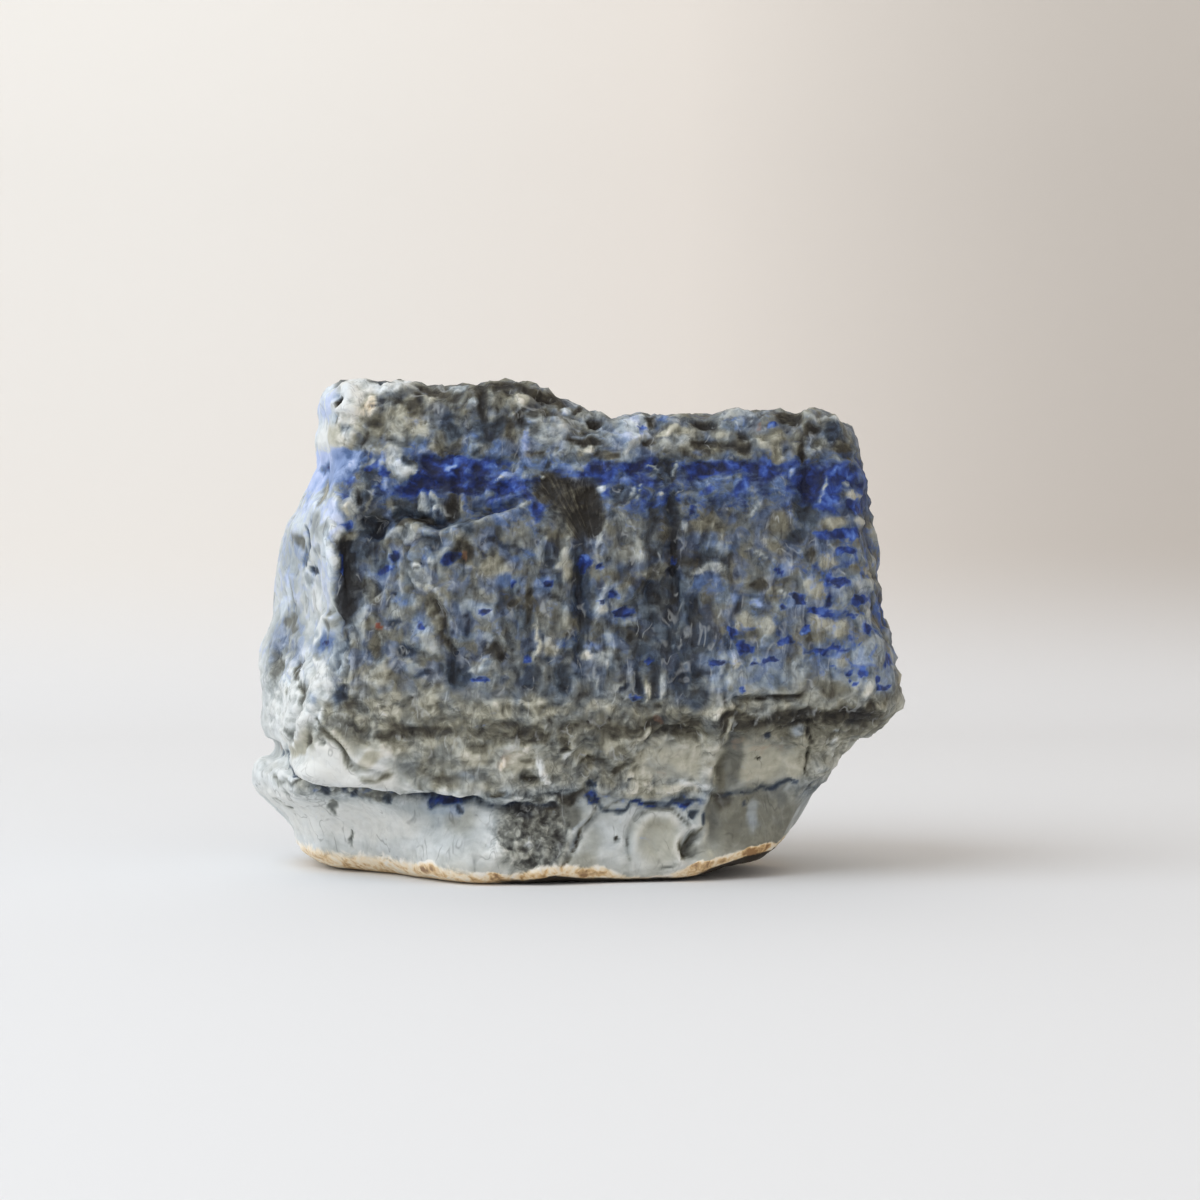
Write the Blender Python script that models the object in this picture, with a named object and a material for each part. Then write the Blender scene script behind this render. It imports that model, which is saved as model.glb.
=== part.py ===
"""Rough lapis lazuli: one broken block of bedded blue and white stone, 110 mm wide, resting on its foot.

Frame: metres, +X to the right along the block's width, +Y from the front face to the back, +Z up.
The origin is the middle of the block's box, on the surface that the block rests on.

The block starts as a cube with rows and columns. Each corner of the grid is rounded, then carried to
the broken outline: two side edges that change with height, a top that drops in a step, and a front and
a back whose depth changes from bed to bed. Weathering then roughens every face but the foot.
"""

import bmesh
import bpy
from mathutils import Vector, noise

MM = 0.001  # everything below is in millimetres

# Driving dimensions
WIDTH = 110.0
DEPTH = 62.0
HEIGHT = 82.0
EDGE_ROUNDING = 4.5  # radius that the broken edges are worn to
GRID_SPACING = 3.5  # distance between neighbouring rows and columns

# The left and right ends of the block, as (height, distance from the middle), from the foot up
LEFT_END = (
    (0.0, -45.5),
    (3.0, -48.0),
    (6.2, -50.5),
    (8.5, -54.0),
    (14.0, -55.6),
    (17.0, -54.0),
    (28.0, -55.0),
    (37.0, -55.2),
    (41.0, -53.2),
    (52.0, -51.1),
    (57.5, -49.4),
    (62.5, -46.8),
    (70.0, -45.0),
    (82.0, -43.2),
)
RIGHT_END = (
    (0.0, 32.4),
    (4.0, 34.6),
    (13.5, 40.1),
    (20.0, 45.5),
    (24.0, 50.2),
    (28.5, 54.3),
    (35.0, 53.9),
    (39.0, 52.6),
    (44.0, 51.3),
    (49.5, 50.2),
    (53.5, 50.6),
    (60.0, 49.2),
    (70.0, 47.2),
    (77.0, 45.6),
)

# The front left edge stands this far in from the left end, by height: the left face is wider low down
LEFT_FACE_WIDTH = (
    (0.0, 4.0),
    (12.0, 8.0),
    (17.0, 9.0),
    (26.0, 11.0),
    (38.0, 17.0),
    (50.0, 12.5),
    (62.0, 8.5),
    (82.0, 6.5),
)
LEFT_FACE_WIDEST = 0.15  # where the left end lies between front (-1) and back (+1)
RIGHT_FACE_WIDEST = -0.3
FRONT_RIGHT_SETBACK = 3.0
BACK_LEFT_SETBACK = 9.0
BACK_RIGHT_SETBACK = 12.0

# The top, as (distance from the middle, height): a high left shoulder that drops to a lower shelf
TOP = (
    (-45.0, 78.5),
    (-39.0, 81.8),
    (-28.0, 82.0),
    (-22.5, 80.9),
    (-11.0, 82.0),
    (-4.0, 79.9),
    (2.5, 76.9),
    (22.0, 76.7),
    (46.0, 77.4),
)
TOP_FALL_TO_BACK = 5.0  # the back of the top is this much lower than its front

# The front face stands this far in front of the middle, by height, on its left, middle and right
FRONT_LEFT = (
    (0.0, 4.0),
    (5.0, 10.5),
    (12.5, 17.5),
    (16.5, 27.5),
    (30.0, 29.0),
    (61.0, 28.5),
    (66.0, 26.0),
    (82.0, 24.0),
)
FRONT_MIDDLE = ((0.0, 28.0), (14.0, 28.0), (18.0, 29.5), (30.0, 30.5), (62.0, 30.0), (66.0, 27.5), (80.0, 25.0))
FRONT_RIGHT = ((0.0, 17.0), (22.0, 18.5), (26.5, 24.0), (35.0, 24.5), (62.0, 23.5), (74.0, 21.5))
FRONT_LEFT_AT, FRONT_MIDDLE_AT, FRONT_RIGHT_AT = -42.0, -14.0, 48.0

# A facet is broken off the lower right of the front: left edge, slope and the height where it stops
FACET_EDGE = 21.5
FACET_SLOPE = 0.48
FACET_TOP = 21.0
FACET_LIP = 6.0  # the bed above it takes this height to stand out again

# A deep scar beside the front left edge, and a crevice below the blue bed
SCAR = {"x": -32.0, "z": 51.0, "half_width": 6.5, "half_height": 15.0, "depth": 3.2}
CREVICE = {"x": -20.0, "z": 62.5, "half_width": 15.0, "half_height": 3.4, "depth": 2.6}

BACK = ((0.0, 22.0), (16.0, 26.5), (34.0, 31.5), (58.0, 30.0), (82.0, 23.0))
BACK_HOLLOW = 3.0  # the back curves forward towards its two ends

# Flat breaks that take corners off the back: a point on each, and the direction that it faces
BREAKS = (
    ((-40.0, 23.0, 40.0), (-0.74, 0.64, 0.12)),
    ((44.0, 15.0, 40.0), (0.80, 0.58, -0.08)),
    ((24.0, 27.0, 62.0), (0.30, 0.78, 0.55)),
    ((-10.0, 24.0, 8.0), (-0.15, 0.82, -0.55)),
    ((-30.0, 12.0, 80.0), (-0.45, 0.40, 0.80)),
)
BREAK_EVENNESS = 0.9  # 1 leaves a break quite flat

# The underside lifts off the surface towards both ends
FOOT_LEFT, FOOT_LEFT_SLOPE = -36.0, 0.12
FOOT_RIGHT, FOOT_RIGHT_SLOPE = 16.0, 0.17

# Weathering: the size of the lumps and chips, and how far they stand out
LUMP_SIZE, LUMP_HEIGHT = 21.0, 1.2
CHIP_SIZE, CHIP_HEIGHT = 8.0, 0.7
FOOT_MARGIN = 1.2  # weathering fades out over this height above the foot

STONE_COLOUR = (0.24, 0.25, 0.27, 1.0)
STONE_ROUGHNESS = 0.62


def along(profile, at):
    """The value of a profile of (position, value) points, straight between its points."""
    if at <= profile[0][0]:
        return profile[0][1]
    for (start, low), (end, high) in zip(profile, profile[1:]):
        if at <= end:
            return low + (high - low) * (at - start) / (end - start)
    return profile[-1][1]


def mix(a, b, share):
    return a + (b - a) * share


def smooth_step(value):
    value = min(1.0, max(0.0, value))
    return value * value * (3.0 - 2.0 * value)


def hollow(feature, x, z):
    """How deep a rounded hollow is at a point of the front face."""
    reach = ((x - feature["x"]) / feature["half_width"]) ** 2
    reach += ((z - feature["z"]) / feature["half_height"]) ** 2
    return feature["depth"] * smooth_step(1.0 - reach)


def front_depth(x, z):
    """How far the front face stands in front of the middle."""
    left, middle, right = (along(p, z) for p in (FRONT_LEFT, FRONT_MIDDLE, FRONT_RIGHT))
    if x < FRONT_MIDDLE_AT:
        share = (x - FRONT_LEFT_AT) / (FRONT_MIDDLE_AT - FRONT_LEFT_AT)
        depth = mix(left, middle, smooth_step(share))
    else:
        share = (x - FRONT_MIDDLE_AT) / (FRONT_RIGHT_AT - FRONT_MIDDLE_AT)
        depth = mix(middle, right, smooth_step(share))
    below_lip = 1.0 - smooth_step((z - FACET_TOP) / FACET_LIP)
    facet = middle - FACET_SLOPE * max(0.0, x - FACET_EDGE)
    depth = mix(depth, min(depth, facet), below_lip)
    return depth - hollow(SCAR, x, z) - hollow(CREVICE, x, z)


def back_depth(x, z):
    """How far the back face stands behind the middle."""
    across = x / (WIDTH / 2)
    return along(BACK, z) - BACK_HOLLOW * across * across


def left_end(z, v):
    """The left face at a height, from the front edge (v = -1) to the back one (v = 1)."""
    end = along(LEFT_END, z)
    if v < LEFT_FACE_WIDEST:
        share = (LEFT_FACE_WIDEST - v) / (LEFT_FACE_WIDEST + 1.0)
        return end + along(LEFT_FACE_WIDTH, z) * share**1.3
    share = (v - LEFT_FACE_WIDEST) / (1.0 - LEFT_FACE_WIDEST)
    return end + BACK_LEFT_SETBACK * share**1.6


def right_end(z, v):
    """The right face at a height, from the front edge (v = -1) to the back one (v = 1)."""
    end = along(RIGHT_END, z)
    if v < RIGHT_FACE_WIDEST:
        share = (RIGHT_FACE_WIDEST - v) / (RIGHT_FACE_WIDEST + 1.0)
        return end - FRONT_RIGHT_SETBACK * share**1.5
    share = (v - RIGHT_FACE_WIDEST) / (1.0 - RIGHT_FACE_WIDEST)
    return end - BACK_RIGHT_SETBACK * share**1.6


def top_height(x, v):
    return along(TOP, x) - TOP_FALL_TO_BACK * smooth_step((v + 1.0) / 2.0)


def foot_height(x):
    """The underside is flat between its two ends, and lifts towards them."""
    lift_left = FOOT_LEFT_SLOPE * max(0.0, FOOT_LEFT - x)
    lift_right = FOOT_RIGHT_SLOPE * max(0.0, x - FOOT_RIGHT)
    return lift_left + lift_right


def gridded_cube():
    """A cube from -1 to 1 with rows and columns about GRID_SPACING apart."""
    cube = bmesh.new()
    bmesh.ops.create_cube(cube, size=2.0)
    for axis, length in enumerate((WIDTH, DEPTH, HEIGHT)):
        parallel = [
            edge
            for edge in cube.edges
            if abs(edge.verts[0].co[axis] - edge.verts[1].co[axis]) > 1.0
        ]
        cuts = round(length / GRID_SPACING) - 1
        bmesh.ops.subdivide_edges(cube, edges=parallel, cuts=cuts, use_grid_fill=True)
    return cube


def round_off(point):
    """Moves a point of the gridded cube onto the same cube with rounded edges."""
    half = Vector((WIDTH, DEPTH, HEIGHT)) / 2
    full = Vector(a * b for a, b in zip(point, half))
    inner = Vector(
        max(-(h - EDGE_ROUNDING), min(h - EDGE_ROUNDING, p)) for p, h in zip(full, half)
    )
    offset = full - inner
    full = inner + offset.normalized() * EDGE_ROUNDING
    return Vector(a / b for a, b in zip(full, half))


def to_outline(point):
    """Carries a point of the rounded cube to the block's broken outline, in millimetres."""
    u, v, w = point
    across = (u + 1.0) / 2.0
    foot_x, top_x = (mix(left_end(z, v), right_end(z, v), across) for z in (0.0, HEIGHT))
    z = mix(foot_height(foot_x), top_height(top_x, v), (w + 1.0) / 2.0)
    x = mix(left_end(z, v), right_end(z, v), across)
    y = mix(-front_depth(x, z), back_depth(x, z), (v + 1.0) / 2.0)
    return Vector((x, y, z))


def broken_flat(point):
    """Moves a point that lies past a flat break back onto it."""
    for place, facing in BREAKS:
        direction = Vector(facing).normalized()
        past = (point - Vector(place)).dot(direction)
        point -= direction * max(0.0, past) * BREAK_EVENNESS
    return point


def weathering(point):
    """How far the surface stands out at a point: broad lumps, and chips with sharper edges."""
    lumps = noise.fractal(point / LUMP_SIZE, 0.8, 2.0, 3)
    chips = noise.noise(point / CHIP_SIZE)
    return LUMP_HEIGHT * lumps + CHIP_HEIGHT * (1.0 - 3.0 * abs(chips))


def weather(mesh):
    mesh.normal_update()
    for vert in mesh.verts:
        fade = smooth_step(vert.co.z / FOOT_MARGIN)
        vert.co += vert.normal * weathering(vert.co) * fade
        vert.co.z = max(0.0, vert.co.z)


def stand_on_origin(mesh):
    """Centres the block's box on the origin, with its lowest points on the surface."""
    for axis in range(3):
        places = [vert.co[axis] for vert in mesh.verts]
        low, high = min(places), max(places)
        shift = low if axis == 2 else (low + high) / 2
        for vert in mesh.verts:
            vert.co[axis] -= shift


def stone_material():
    material = bpy.data.materials.new("lapis_and_calcite")
    material.use_nodes = True
    shader = material.node_tree.nodes["Principled BSDF"]
    shader.inputs["Base Color"].default_value = STONE_COLOUR
    shader.inputs["Roughness"].default_value = STONE_ROUGHNESS
    shader.inputs["Metallic"].default_value = 0.0
    return material


def build_stone():
    block = gridded_cube()
    for vert in block.verts:
        vert.co = broken_flat(to_outline(round_off(vert.co)))
    weather(block)
    stand_on_origin(block)
    bmesh.ops.scale(block, vec=(MM, MM, MM), verts=block.verts)
    bmesh.ops.triangulate(block, faces=block.faces)
    mesh = bpy.data.meshes.new("lapis_stone")
    block.to_mesh(mesh)
    block.free()
    mesh.shade_smooth()
    mesh.materials.append(stone_material())
    stone = bpy.data.objects.new("lapis_stone", mesh)
    bpy.context.scene.collection.objects.link(stone)


def main():
    for obj in list(bpy.data.objects):
        bpy.data.objects.remove(obj)
    build_stone()


main()
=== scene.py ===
import math

import bmesh
import bpy
import numpy as np
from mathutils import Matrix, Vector


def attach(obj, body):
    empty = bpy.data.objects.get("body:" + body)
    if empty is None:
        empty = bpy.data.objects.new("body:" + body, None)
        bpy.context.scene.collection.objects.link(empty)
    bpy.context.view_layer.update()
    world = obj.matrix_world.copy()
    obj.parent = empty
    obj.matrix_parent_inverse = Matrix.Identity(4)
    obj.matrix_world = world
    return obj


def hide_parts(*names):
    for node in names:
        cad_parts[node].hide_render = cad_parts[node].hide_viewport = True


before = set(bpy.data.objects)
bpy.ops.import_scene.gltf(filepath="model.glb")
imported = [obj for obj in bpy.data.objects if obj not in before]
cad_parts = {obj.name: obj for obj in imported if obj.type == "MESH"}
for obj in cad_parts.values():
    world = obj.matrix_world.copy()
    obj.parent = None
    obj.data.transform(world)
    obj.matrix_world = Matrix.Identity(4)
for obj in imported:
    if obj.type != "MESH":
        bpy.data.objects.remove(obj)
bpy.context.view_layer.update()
mm = 0.001  # lengths are in millimetres, apart from the studio's


# Noise, worked out for all points at once
def mixBits(cell, seed):
    key = cell[:, 0] * 374761393 + cell[:, 1] * 668265263 + cell[:, 2] * 1440662683 + seed * 974634777
    key = (key ^ (key >> 13)) * 1274126177
    key = (key ^ (key >> 16)) * 668265263
    return (key ^ (key >> 15)) & 0xFFFFFF


def randomNumber(cell, seed):  # 0 to 1, always the same for one cell
    return mixBits(cell, seed) / 0xFFFFFF


def swell(points, seed):  # smooth noise with lumps one unit apart, about -1 to 1
    cell = np.floor(points).astype(np.int64)
    part = points - cell
    fade = part ** 3 * (part * (part * 6.0 - 15.0) + 10.0)
    total = np.zeros(len(points))
    for corner in np.ndindex(2, 2, 2):
        bits = mixBits(cell + corner, seed)
        slopes = np.stack([bits & 255, (bits >> 8) & 255, (bits >> 16) & 255], axis=1) / 127.5 - 1.0
        weight = np.prod(np.where(corner, fade, 1.0 - fade), axis=1)
        total += weight * ((part - corner) * slopes).sum(axis=1)
    return total * 1.6


def cloud(points, size, seed, layers=3, detail=0.5):  # lumps of this size in mm, with finer ones on them
    total, strength, whole = 0.0, 1.0, 0.0
    scaled = points / np.asarray(size, float)
    for layer in range(layers):
        total = total + strength * swell(scaled * 2.03 ** layer, seed + layer)
        whole += strength
        strength *= detail
    return total / whole


def folds(points, size, seed, layers=2):  # thin crests between round hollows, 0 to 1
    total, strength, whole = 0.0, 1.0, 0.0
    scaled = points / np.asarray(size, float)
    for layer in range(layers):
        crest = 1.0 - np.clip(np.abs(swell(scaled * 2.03 ** layer, seed + layer)) * 2.2, 0.0, 1.0)
        total = total + strength * crest ** 2
        whole += strength
        strength *= 0.5
    return total / whole


def terraces(points, size, seed, steps):  # a smooth landscape cut into steps, about -1 to 1
    level = cloud(points, size, seed, 3) * steps * 1.6
    whole = np.floor(level)
    return (whole + ease(level - whole, 0.0, 0.4)) / steps


def stir(points, size, distance, seed):  # bends the space that a pattern is drawn in
    moves = [swell(points / size + 17.0 * axis, seed + axis) for axis in range(3)]
    return points + distance * np.stack(moves, axis=1)


def chips(points, size, seed):  # broken facets: (tilt height, distance to the facet's edge, its number)
    scaled = points / np.asarray(size, float)
    cell = np.floor(scaled).astype(np.int64)
    nearest = np.full(len(points), 9.0)
    second = np.full(len(points), 9.0)
    height = np.zeros(len(points))
    number = np.zeros(len(points))
    for step in np.ndindex(3, 3, 3):
        there = cell + np.array(step) - 1
        jitter = np.stack([randomNumber(there, seed + axis) for axis in range(3)], axis=1)
        offset = scaled - (there + jitter)
        distance = np.sqrt((offset ** 2).sum(axis=1))
        tilt = np.stack([randomNumber(there, seed + 5 + axis) for axis in range(3)], axis=1) * 2.0 - 1.0
        closer = distance < nearest
        second = np.where(closer, nearest, np.minimum(second, distance))
        height = np.where(closer, (offset * tilt).sum(axis=1), height)
        number = np.where(closer, randomNumber(there, seed + 9), number)
        nearest = np.where(closer, distance, nearest)
    return height, second - nearest, number


def ease(value, low, high):
    share = np.clip((value - low) / (high - low), 0.0, 1.0)
    return share * share * (3.0 - 2.0 * share)


def profile(value, pairs):  # straight lines through (position, value) pairs
    return np.interp(value, [pair[0] for pair in pairs], [pair[1] for pair in pairs])


def spot(x, z, oval, soft=0.6):  # 1 inside an oval on the front, 0 outside
    middle, height, halfWidth, halfHeight, *lean = oval  # the lean, in degrees, may be left out
    turn = math.radians(sum(lean))
    across, up = x - middle, z - height
    along = across * math.cos(turn) + up * math.sin(turn)
    over = up * math.cos(turn) - across * math.sin(turn)
    distance = np.sqrt((along / halfWidth) ** 2 + (over / halfHeight) ** 2)
    return 1.0 - ease(distance, 1.0 - soft, 1.0 + soft)


def spots(x, z, ovals):  # the strongest of several: (strength, softness, then the oval)
    best = np.zeros(len(x))
    for strength, soft, *oval in ovals:
        best = np.maximum(best, strength * spot(x, z, oval, soft))
    return best


def rounded(points):  # the same line with its corners cut off twice
    for _ in range(2):
        line = [points[0]]
        for (ax, az), (bx, bz) in zip(points, points[1:]):
            line.append((0.75 * ax + 0.25 * bx, 0.75 * az + 0.25 * bz))
            line.append((0.25 * ax + 0.75 * bx, 0.25 * az + 0.75 * bz))
        points = line + [points[-1]]
    return points


def lineDistance(x, z, points):  # distance to a drawn line, and the share of the way along it
    best = np.full(len(x), 1e3)
    share = np.zeros(len(x))
    side = np.zeros(len(x))
    lengths = [math.dist(a, b) for a, b in zip(points, points[1:])]
    gone = 0.0
    for (start, end), length in zip(zip(points, points[1:]), lengths):
        ux, uz = (end[0] - start[0]) / length, (end[1] - start[1]) / length
        along = np.clip((x - start[0]) * ux + (z - start[1]) * uz, 0.0, length)
        distance = np.hypot(x - start[0] - along * ux, z - start[1] - along * uz)
        closer = distance < best
        best = np.where(closer, distance, best)
        share = np.where(closer, (gone + along) / sum(lengths), share)
        side = np.where(closer, (z - start[1]) * ux - (x - start[0]) * uz, side)
        gone += length
    return best, share, np.sign(side)  # side is 1 to the left of the line's direction


# Points, normals and edges of a mesh as arrays, in mm
def meshPoints(mesh):
    flat = np.empty(len(mesh.vertices) * 3)
    mesh.vertices.foreach_get("co", flat)
    return flat.reshape(-1, 3) / mm


def meshNormals(mesh):
    flat = np.empty(len(mesh.vertices) * 3)
    mesh.vertices.foreach_get("normal", flat)
    return flat.reshape(-1, 3)


def setPoints(mesh, points):
    mesh.vertices.foreach_set("co", (points * mm).ravel())
    mesh.update()


def meshEdges(mesh):
    flat = np.empty(len(mesh.edges) * 2, dtype=np.int64)
    mesh.edges.foreach_get("vertices", flat)
    return flat.reshape(-1, 2)


def neighbourMean(values, edges):
    columns = values.reshape(len(values), -1)
    count = np.bincount(edges.ravel(), minlength=len(values))
    total = np.zeros_like(columns)
    for column in range(columns.shape[1]):
        total[:, column] = np.bincount(edges[:, 0], columns[edges[:, 1], column], len(values))
        total[:, column] += np.bincount(edges[:, 1], columns[edges[:, 0], column], len(values))
    return (total / np.maximum(count, 1)[:, None]).reshape(values.shape)


def soften(values, edges, rounds):
    for _ in range(rounds):
        values = 0.5 * values + 0.5 * neighbourMean(values, edges)
    return values


def applyModifiers(thing):
    depsgraph = bpy.context.evaluated_depsgraph_get()
    finished = bpy.data.meshes.new_from_object(thing.evaluated_get(depsgraph))
    thing.modifiers.clear()
    thing.data = finished


def remesh(thing, size):
    modifier = thing.modifiers.new("Skin", "REMESH")
    modifier.mode = "VOXEL"
    modifier.voxel_size = size * mm
    applyModifiers(thing)


block = {
    "roughSkin": 1.2,        # first grid, to take the block's flat faces out
    "smoothing": 4,
    "fineSkin": 0.98,        # second grid, which the relief is put on
    "footFade": 1.4,         # the relief fades out over this height above the foot
    "footPush": 1.4,         # the left end of the foot stands further out
    "lumps": (15.0, 0.7),    # size and height of the slow swells
    "knobs": (6.0, 0.7),
    "beds": (5.0, 0.35),     # one bed stands out a little over the next
    "flutes": (3.4, 0.8),    # upright grooves in the middle of the block
    "sheets": (5.5, 0.9),    # broken sheets, one over another
    "wrinkles": (3.0, 0.4),
    "facets": (4.2, 0.45),
    "breaks": (15.0, 3.2),   # big broken faces on the back
    "grit": (1.3, 0.08),
    "arrisHollow": (1.6, 2.2, 1.7),  # beside the left arris: depth, distance to the right, half width
    "arrisRidge": (-0.4, -0.2, 0.8),
    "paleRise": 0.75,        # light patches stand out and dark ones lie deeper
    "backRim": 0.6,          # how far the foot's edge is off the ground behind
}
smoothSpots = {  # places where the stone is smooth, and two that stay rough
    "lip": (-37.5, 19.8, 11, 4, -18),
    "facet": (30, 17.5, 8, 6.5),
    "tile": (16.5, 19.5, 5, 3.2),
    "grey": (-20, 19, 12, 4),
    "grained": (-7.2, 8.2, 6.4, 6.2, 12),
    "leftRough": (-47.6, 31, 5, 9),
}

leftEnd = (  # how far the left end stands out, against height
    (3, 0), (6, -2), (8.5, -2.6), (10.6, -1.6), (12.5, -0.2), (15, 0.2), (17, 1), (18.6, -1.6),
    (20.5, -2.2), (22.5, -1.2), (24, -0.8), (35, -0.6), (45, -0.9), (50, -0.6), (55, 0.3), (58, 0.3),
    (60, 0), (62, 0), (65.5, -0.3), (68.7, -0.4), (72, 1), (74, 1.2), (76.8, 2.6), (79, 3.6))
rightEnd = (  # the same for the right end
    (15, 0), (18, -0.8), (22, -0.3), (26, -0.6), (30, -0.9), (36, -0.8), (39, -0.1), (43, -0.9),
    (48, -0.7), (57, -1.2), (62, -1), (66, -0.6), (71, -0.4), (74, -1.2), (76, -2.2), (79, -2.3))
topEdge = (  # how far the top stands up, against the place across
    (-34, 0.3), (-31, 0.2), (-27, -0.5), (-22, -1.2), (-18, -0.9), (-12, -0.5), (-8, -0.1), (-4, 0),
    (0, -0.5), (6, -1.1), (11, -1.2), (14, 0), (20, 0.1), (26, 0.4), (34, -0.1), (37, -0.9), (41, 0))


# Lines drawn on the front, from left to right or from top to bottom: (across, up) in mm
lines = {
    "rolledLip": (
        (-50.5, 21), (-48, 20), (-46.6, 18.4), (-43.5, 16.7), (-38.6, 15.9), (-34.4, 16.3), (-30.3, 15.8),
        (-27, 14.5), (-22, 14.8), (-15.8, 14.5), (-13.4, 13.1), (-6, 13.7), (-2, 12.9)),
    "lipFold": ((-42.6, 26.8), (-40, 24.2), (-37.8, 22.4), (-36, 20), (-33.8, 18.6), (-29.3, 17.6)),
    "innerFold": ((-42.4, 25.6), (-40.6, 23.6), (-39.4, 22.8)),
    "creviceLip": (
        (-31.5, 54), (-30.3, 56.6), (-28.3, 58.8), (-26.8, 59.5), (-25.4, 59), (-23.1, 58), (-17.9, 57.9),
        (-15.2, 59.4), (-12, 60.2), (-9.4, 61), (-6.5, 62.4)),
    "arris": (
        (-37.6, 78), (-38.4, 70), (-37.6, 63.5), (-38, 57), (-38.6, 49.5), (-38.2, 43.8), (-38.6, 37),
        (-41.6, 30.5), (-45, 24.5)),
    "lensGroove": ((-44.4, 28.8), (-45, 27.1), (-45.9, 25.2), (-46.3, 22.1)),
    "baseCrack": ((4, 12), (1.7, 9.2), (-0.6, 5.5), (-2.4, 1.8)),
    "roundChip": ((21.2, 8.6), (19.4, 8.2), (17.9, 7), (17.4, 5.3), (18, 3.6), (19.4, 2.6)),
    "shell": ((9.6, 3.6), (9.4, 6.6), (10.2, 9.6), (12.2, 11.6), (14.8, 12), (17, 10.8), (18.6, 8.4)),
    "facetEdge": (
        (24.8, 29.5), (24.6, 25.4), (23.6, 21.2), (22.2, 17.1), (21.6, 13), (21.3, 7.8), (20.8, 3.4)),
    "rightCrack": ((38.4, 26), (38.6, 20.5), (39.2, 16.4)),
    "shelfCrack": ((25.2, 30), (29.5, 30), (31.5, 30.4), (35.4, 30), (38.6, 30.4)),
    "facetVein": (
        (22.6, 14), (24.4, 13.4), (25.9, 15), (29.9, 14.9), (33, 15.2), (34.6, 16.3), (37.6, 15.4)),
    "footVein": (
        (2, 14.2), (5, 11.8), (8.2, 11.3), (9.6, 13.4), (11.8, 12.9), (14.2, 13.4), (15.4, 12.2),
        (17.2, 13.2), (21.4, 13.4)),
    "vBranch": ((5.2, 11.8), (6.8, 12.6), (8.2, 14.8), (9.6, 17.4)),
    "endVein": ((-53, 16.6), (-50.2, 16.6), (-48.6, 15.6), (-47, 15.6), (-45.2, 16.3), (-42, 16.2)),
    "endLedge": ((-50.4, 11.4), (-48.6, 10.8), (-46.8, 10.4)),
    "branch": ((-22.6, 47.4), (-21.2, 44), (-20.4, 41), (-19.4, 37.4)),
    "leftGroove": ((-44.8, 58.4), (-44, 53.8), (-44.6, 50.6)),
    "leftFork": ((-48, 50), (-47.4, 47), (-47, 43.6)),
    "leftSlit": ((-45, 36.2), (-45.3, 32.8), (-44.4, 29.6)),
    "tent": ((-40.8, 44.2), (-42.4, 40.4), (-42.9, 36.6), (-41.4, 33.8)),
    "tentRight": ((-40.4, 44), (-38.4, 42.2), (-36.6, 40.8)),
}

# Cuts along those lines, each with the shares of the line that it fades in and out over:
# (depth, distance to the left of the line, half width), and a negative depth stands out
cuts = (
    ("rolledLip", ((1.4, -0.9, 0.8), (-1.2, 1.6, 1.6)), 0.2, 0.25),
    ("lipFold", ((0.8, 0.3, 0.5), (-0.6, 1.2, 0.7), (-0.4, -1.4, 1.2)), 0.12, 0.15),
    ("innerFold", ((0.5, 0, 0.4), (-0.4, -0.9, 0.6)), 0.2, 0.3),
    ("creviceLip", ((2.4, 1.1, 1), (1.4, 3, 1.4), (-0.9, -0.7, 0.8)), 0.1, 0.2),
    ("lensGroove", ((1.3, 0, 0.6), (-0.6, 1.5, 0.9), (-0.5, -1.2, 0.8)), 0.2, 0.2),
    ("baseCrack", ((0.5, 0, 0.4), (-0.5, -1, 0.9)), 0.1, 0.1),
    ("roundChip", ((1.3, 0.9, 0.8), (-0.5, -0.8, 0.7)), 0.15, 0.25),
    ("shell", ((0.45, 0.7, 0.8), (-0.45, -0.8, 0.9)), 0.25, 0.15),
    ("facetEdge", ((-0.6, -0.7, 0.9), (0.4, 1.3, 1)), 0.05, 0.1),
    ("rightCrack", ((0.7, 0, 0.4),), 0.1, 0.1),
    ("shelfCrack", ((1, 0, 0.45), (-0.5, 1.2, 0.9)), 0.15, 0.15),
    ("endVein", ((0.3, 0.4, 0.6),), 0.2, 0.3),
    ("branch", ((0.5, 0, 0.6), (-0.3, 1.4, 0.8)), 0.15, 0.15),
    ("leftGroove", ((0.45, 0, 0.6), (-0.3, 1.3, 0.9), (0.3, -1.1, 0.5)), 0.2, 0.2),
    ("leftFork", ((0.4, 0, 0.6), (-0.3, 1, 0.8)), 0.2, 0.2),
    ("leftSlit", ((0.45, 0, 0.6), (-0.3, -1.1, 0.8)), 0.2, 0.2),
    ("tent", ((0.7, -0.9, 0.8), (-0.5, 0.5, 0.8)), 0.15, 0.2),
    ("tentRight", ((0.9, 0.9, 0.7), (-0.6, -0.5, 0.7)), 0.1, 0.3),
)

flutes = (  # upright grooves: (middle, foot, top, half width, depth)
    (-7, 36, 52, 0.8, 0.8), (1, 34, 52, 1.1, 1.2), (-2.6, 38, 47, 0.7, 0.5), (11.2, 29, 38, 0.8, 0.8),
    (12.6, 40, 50, 1.1, 0.9), (16, 31, 64, 1.1, 1), (19.6, 32, 46, 1.4, 0.8), (24.7, 28.5, 36, 0.5, 0.7),
    (38, 59, 68, 1.6, 1), (-27, 31, 38, 0.8, 0.5), (-15, 76, 80.5, 0.8, 0.8))

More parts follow.
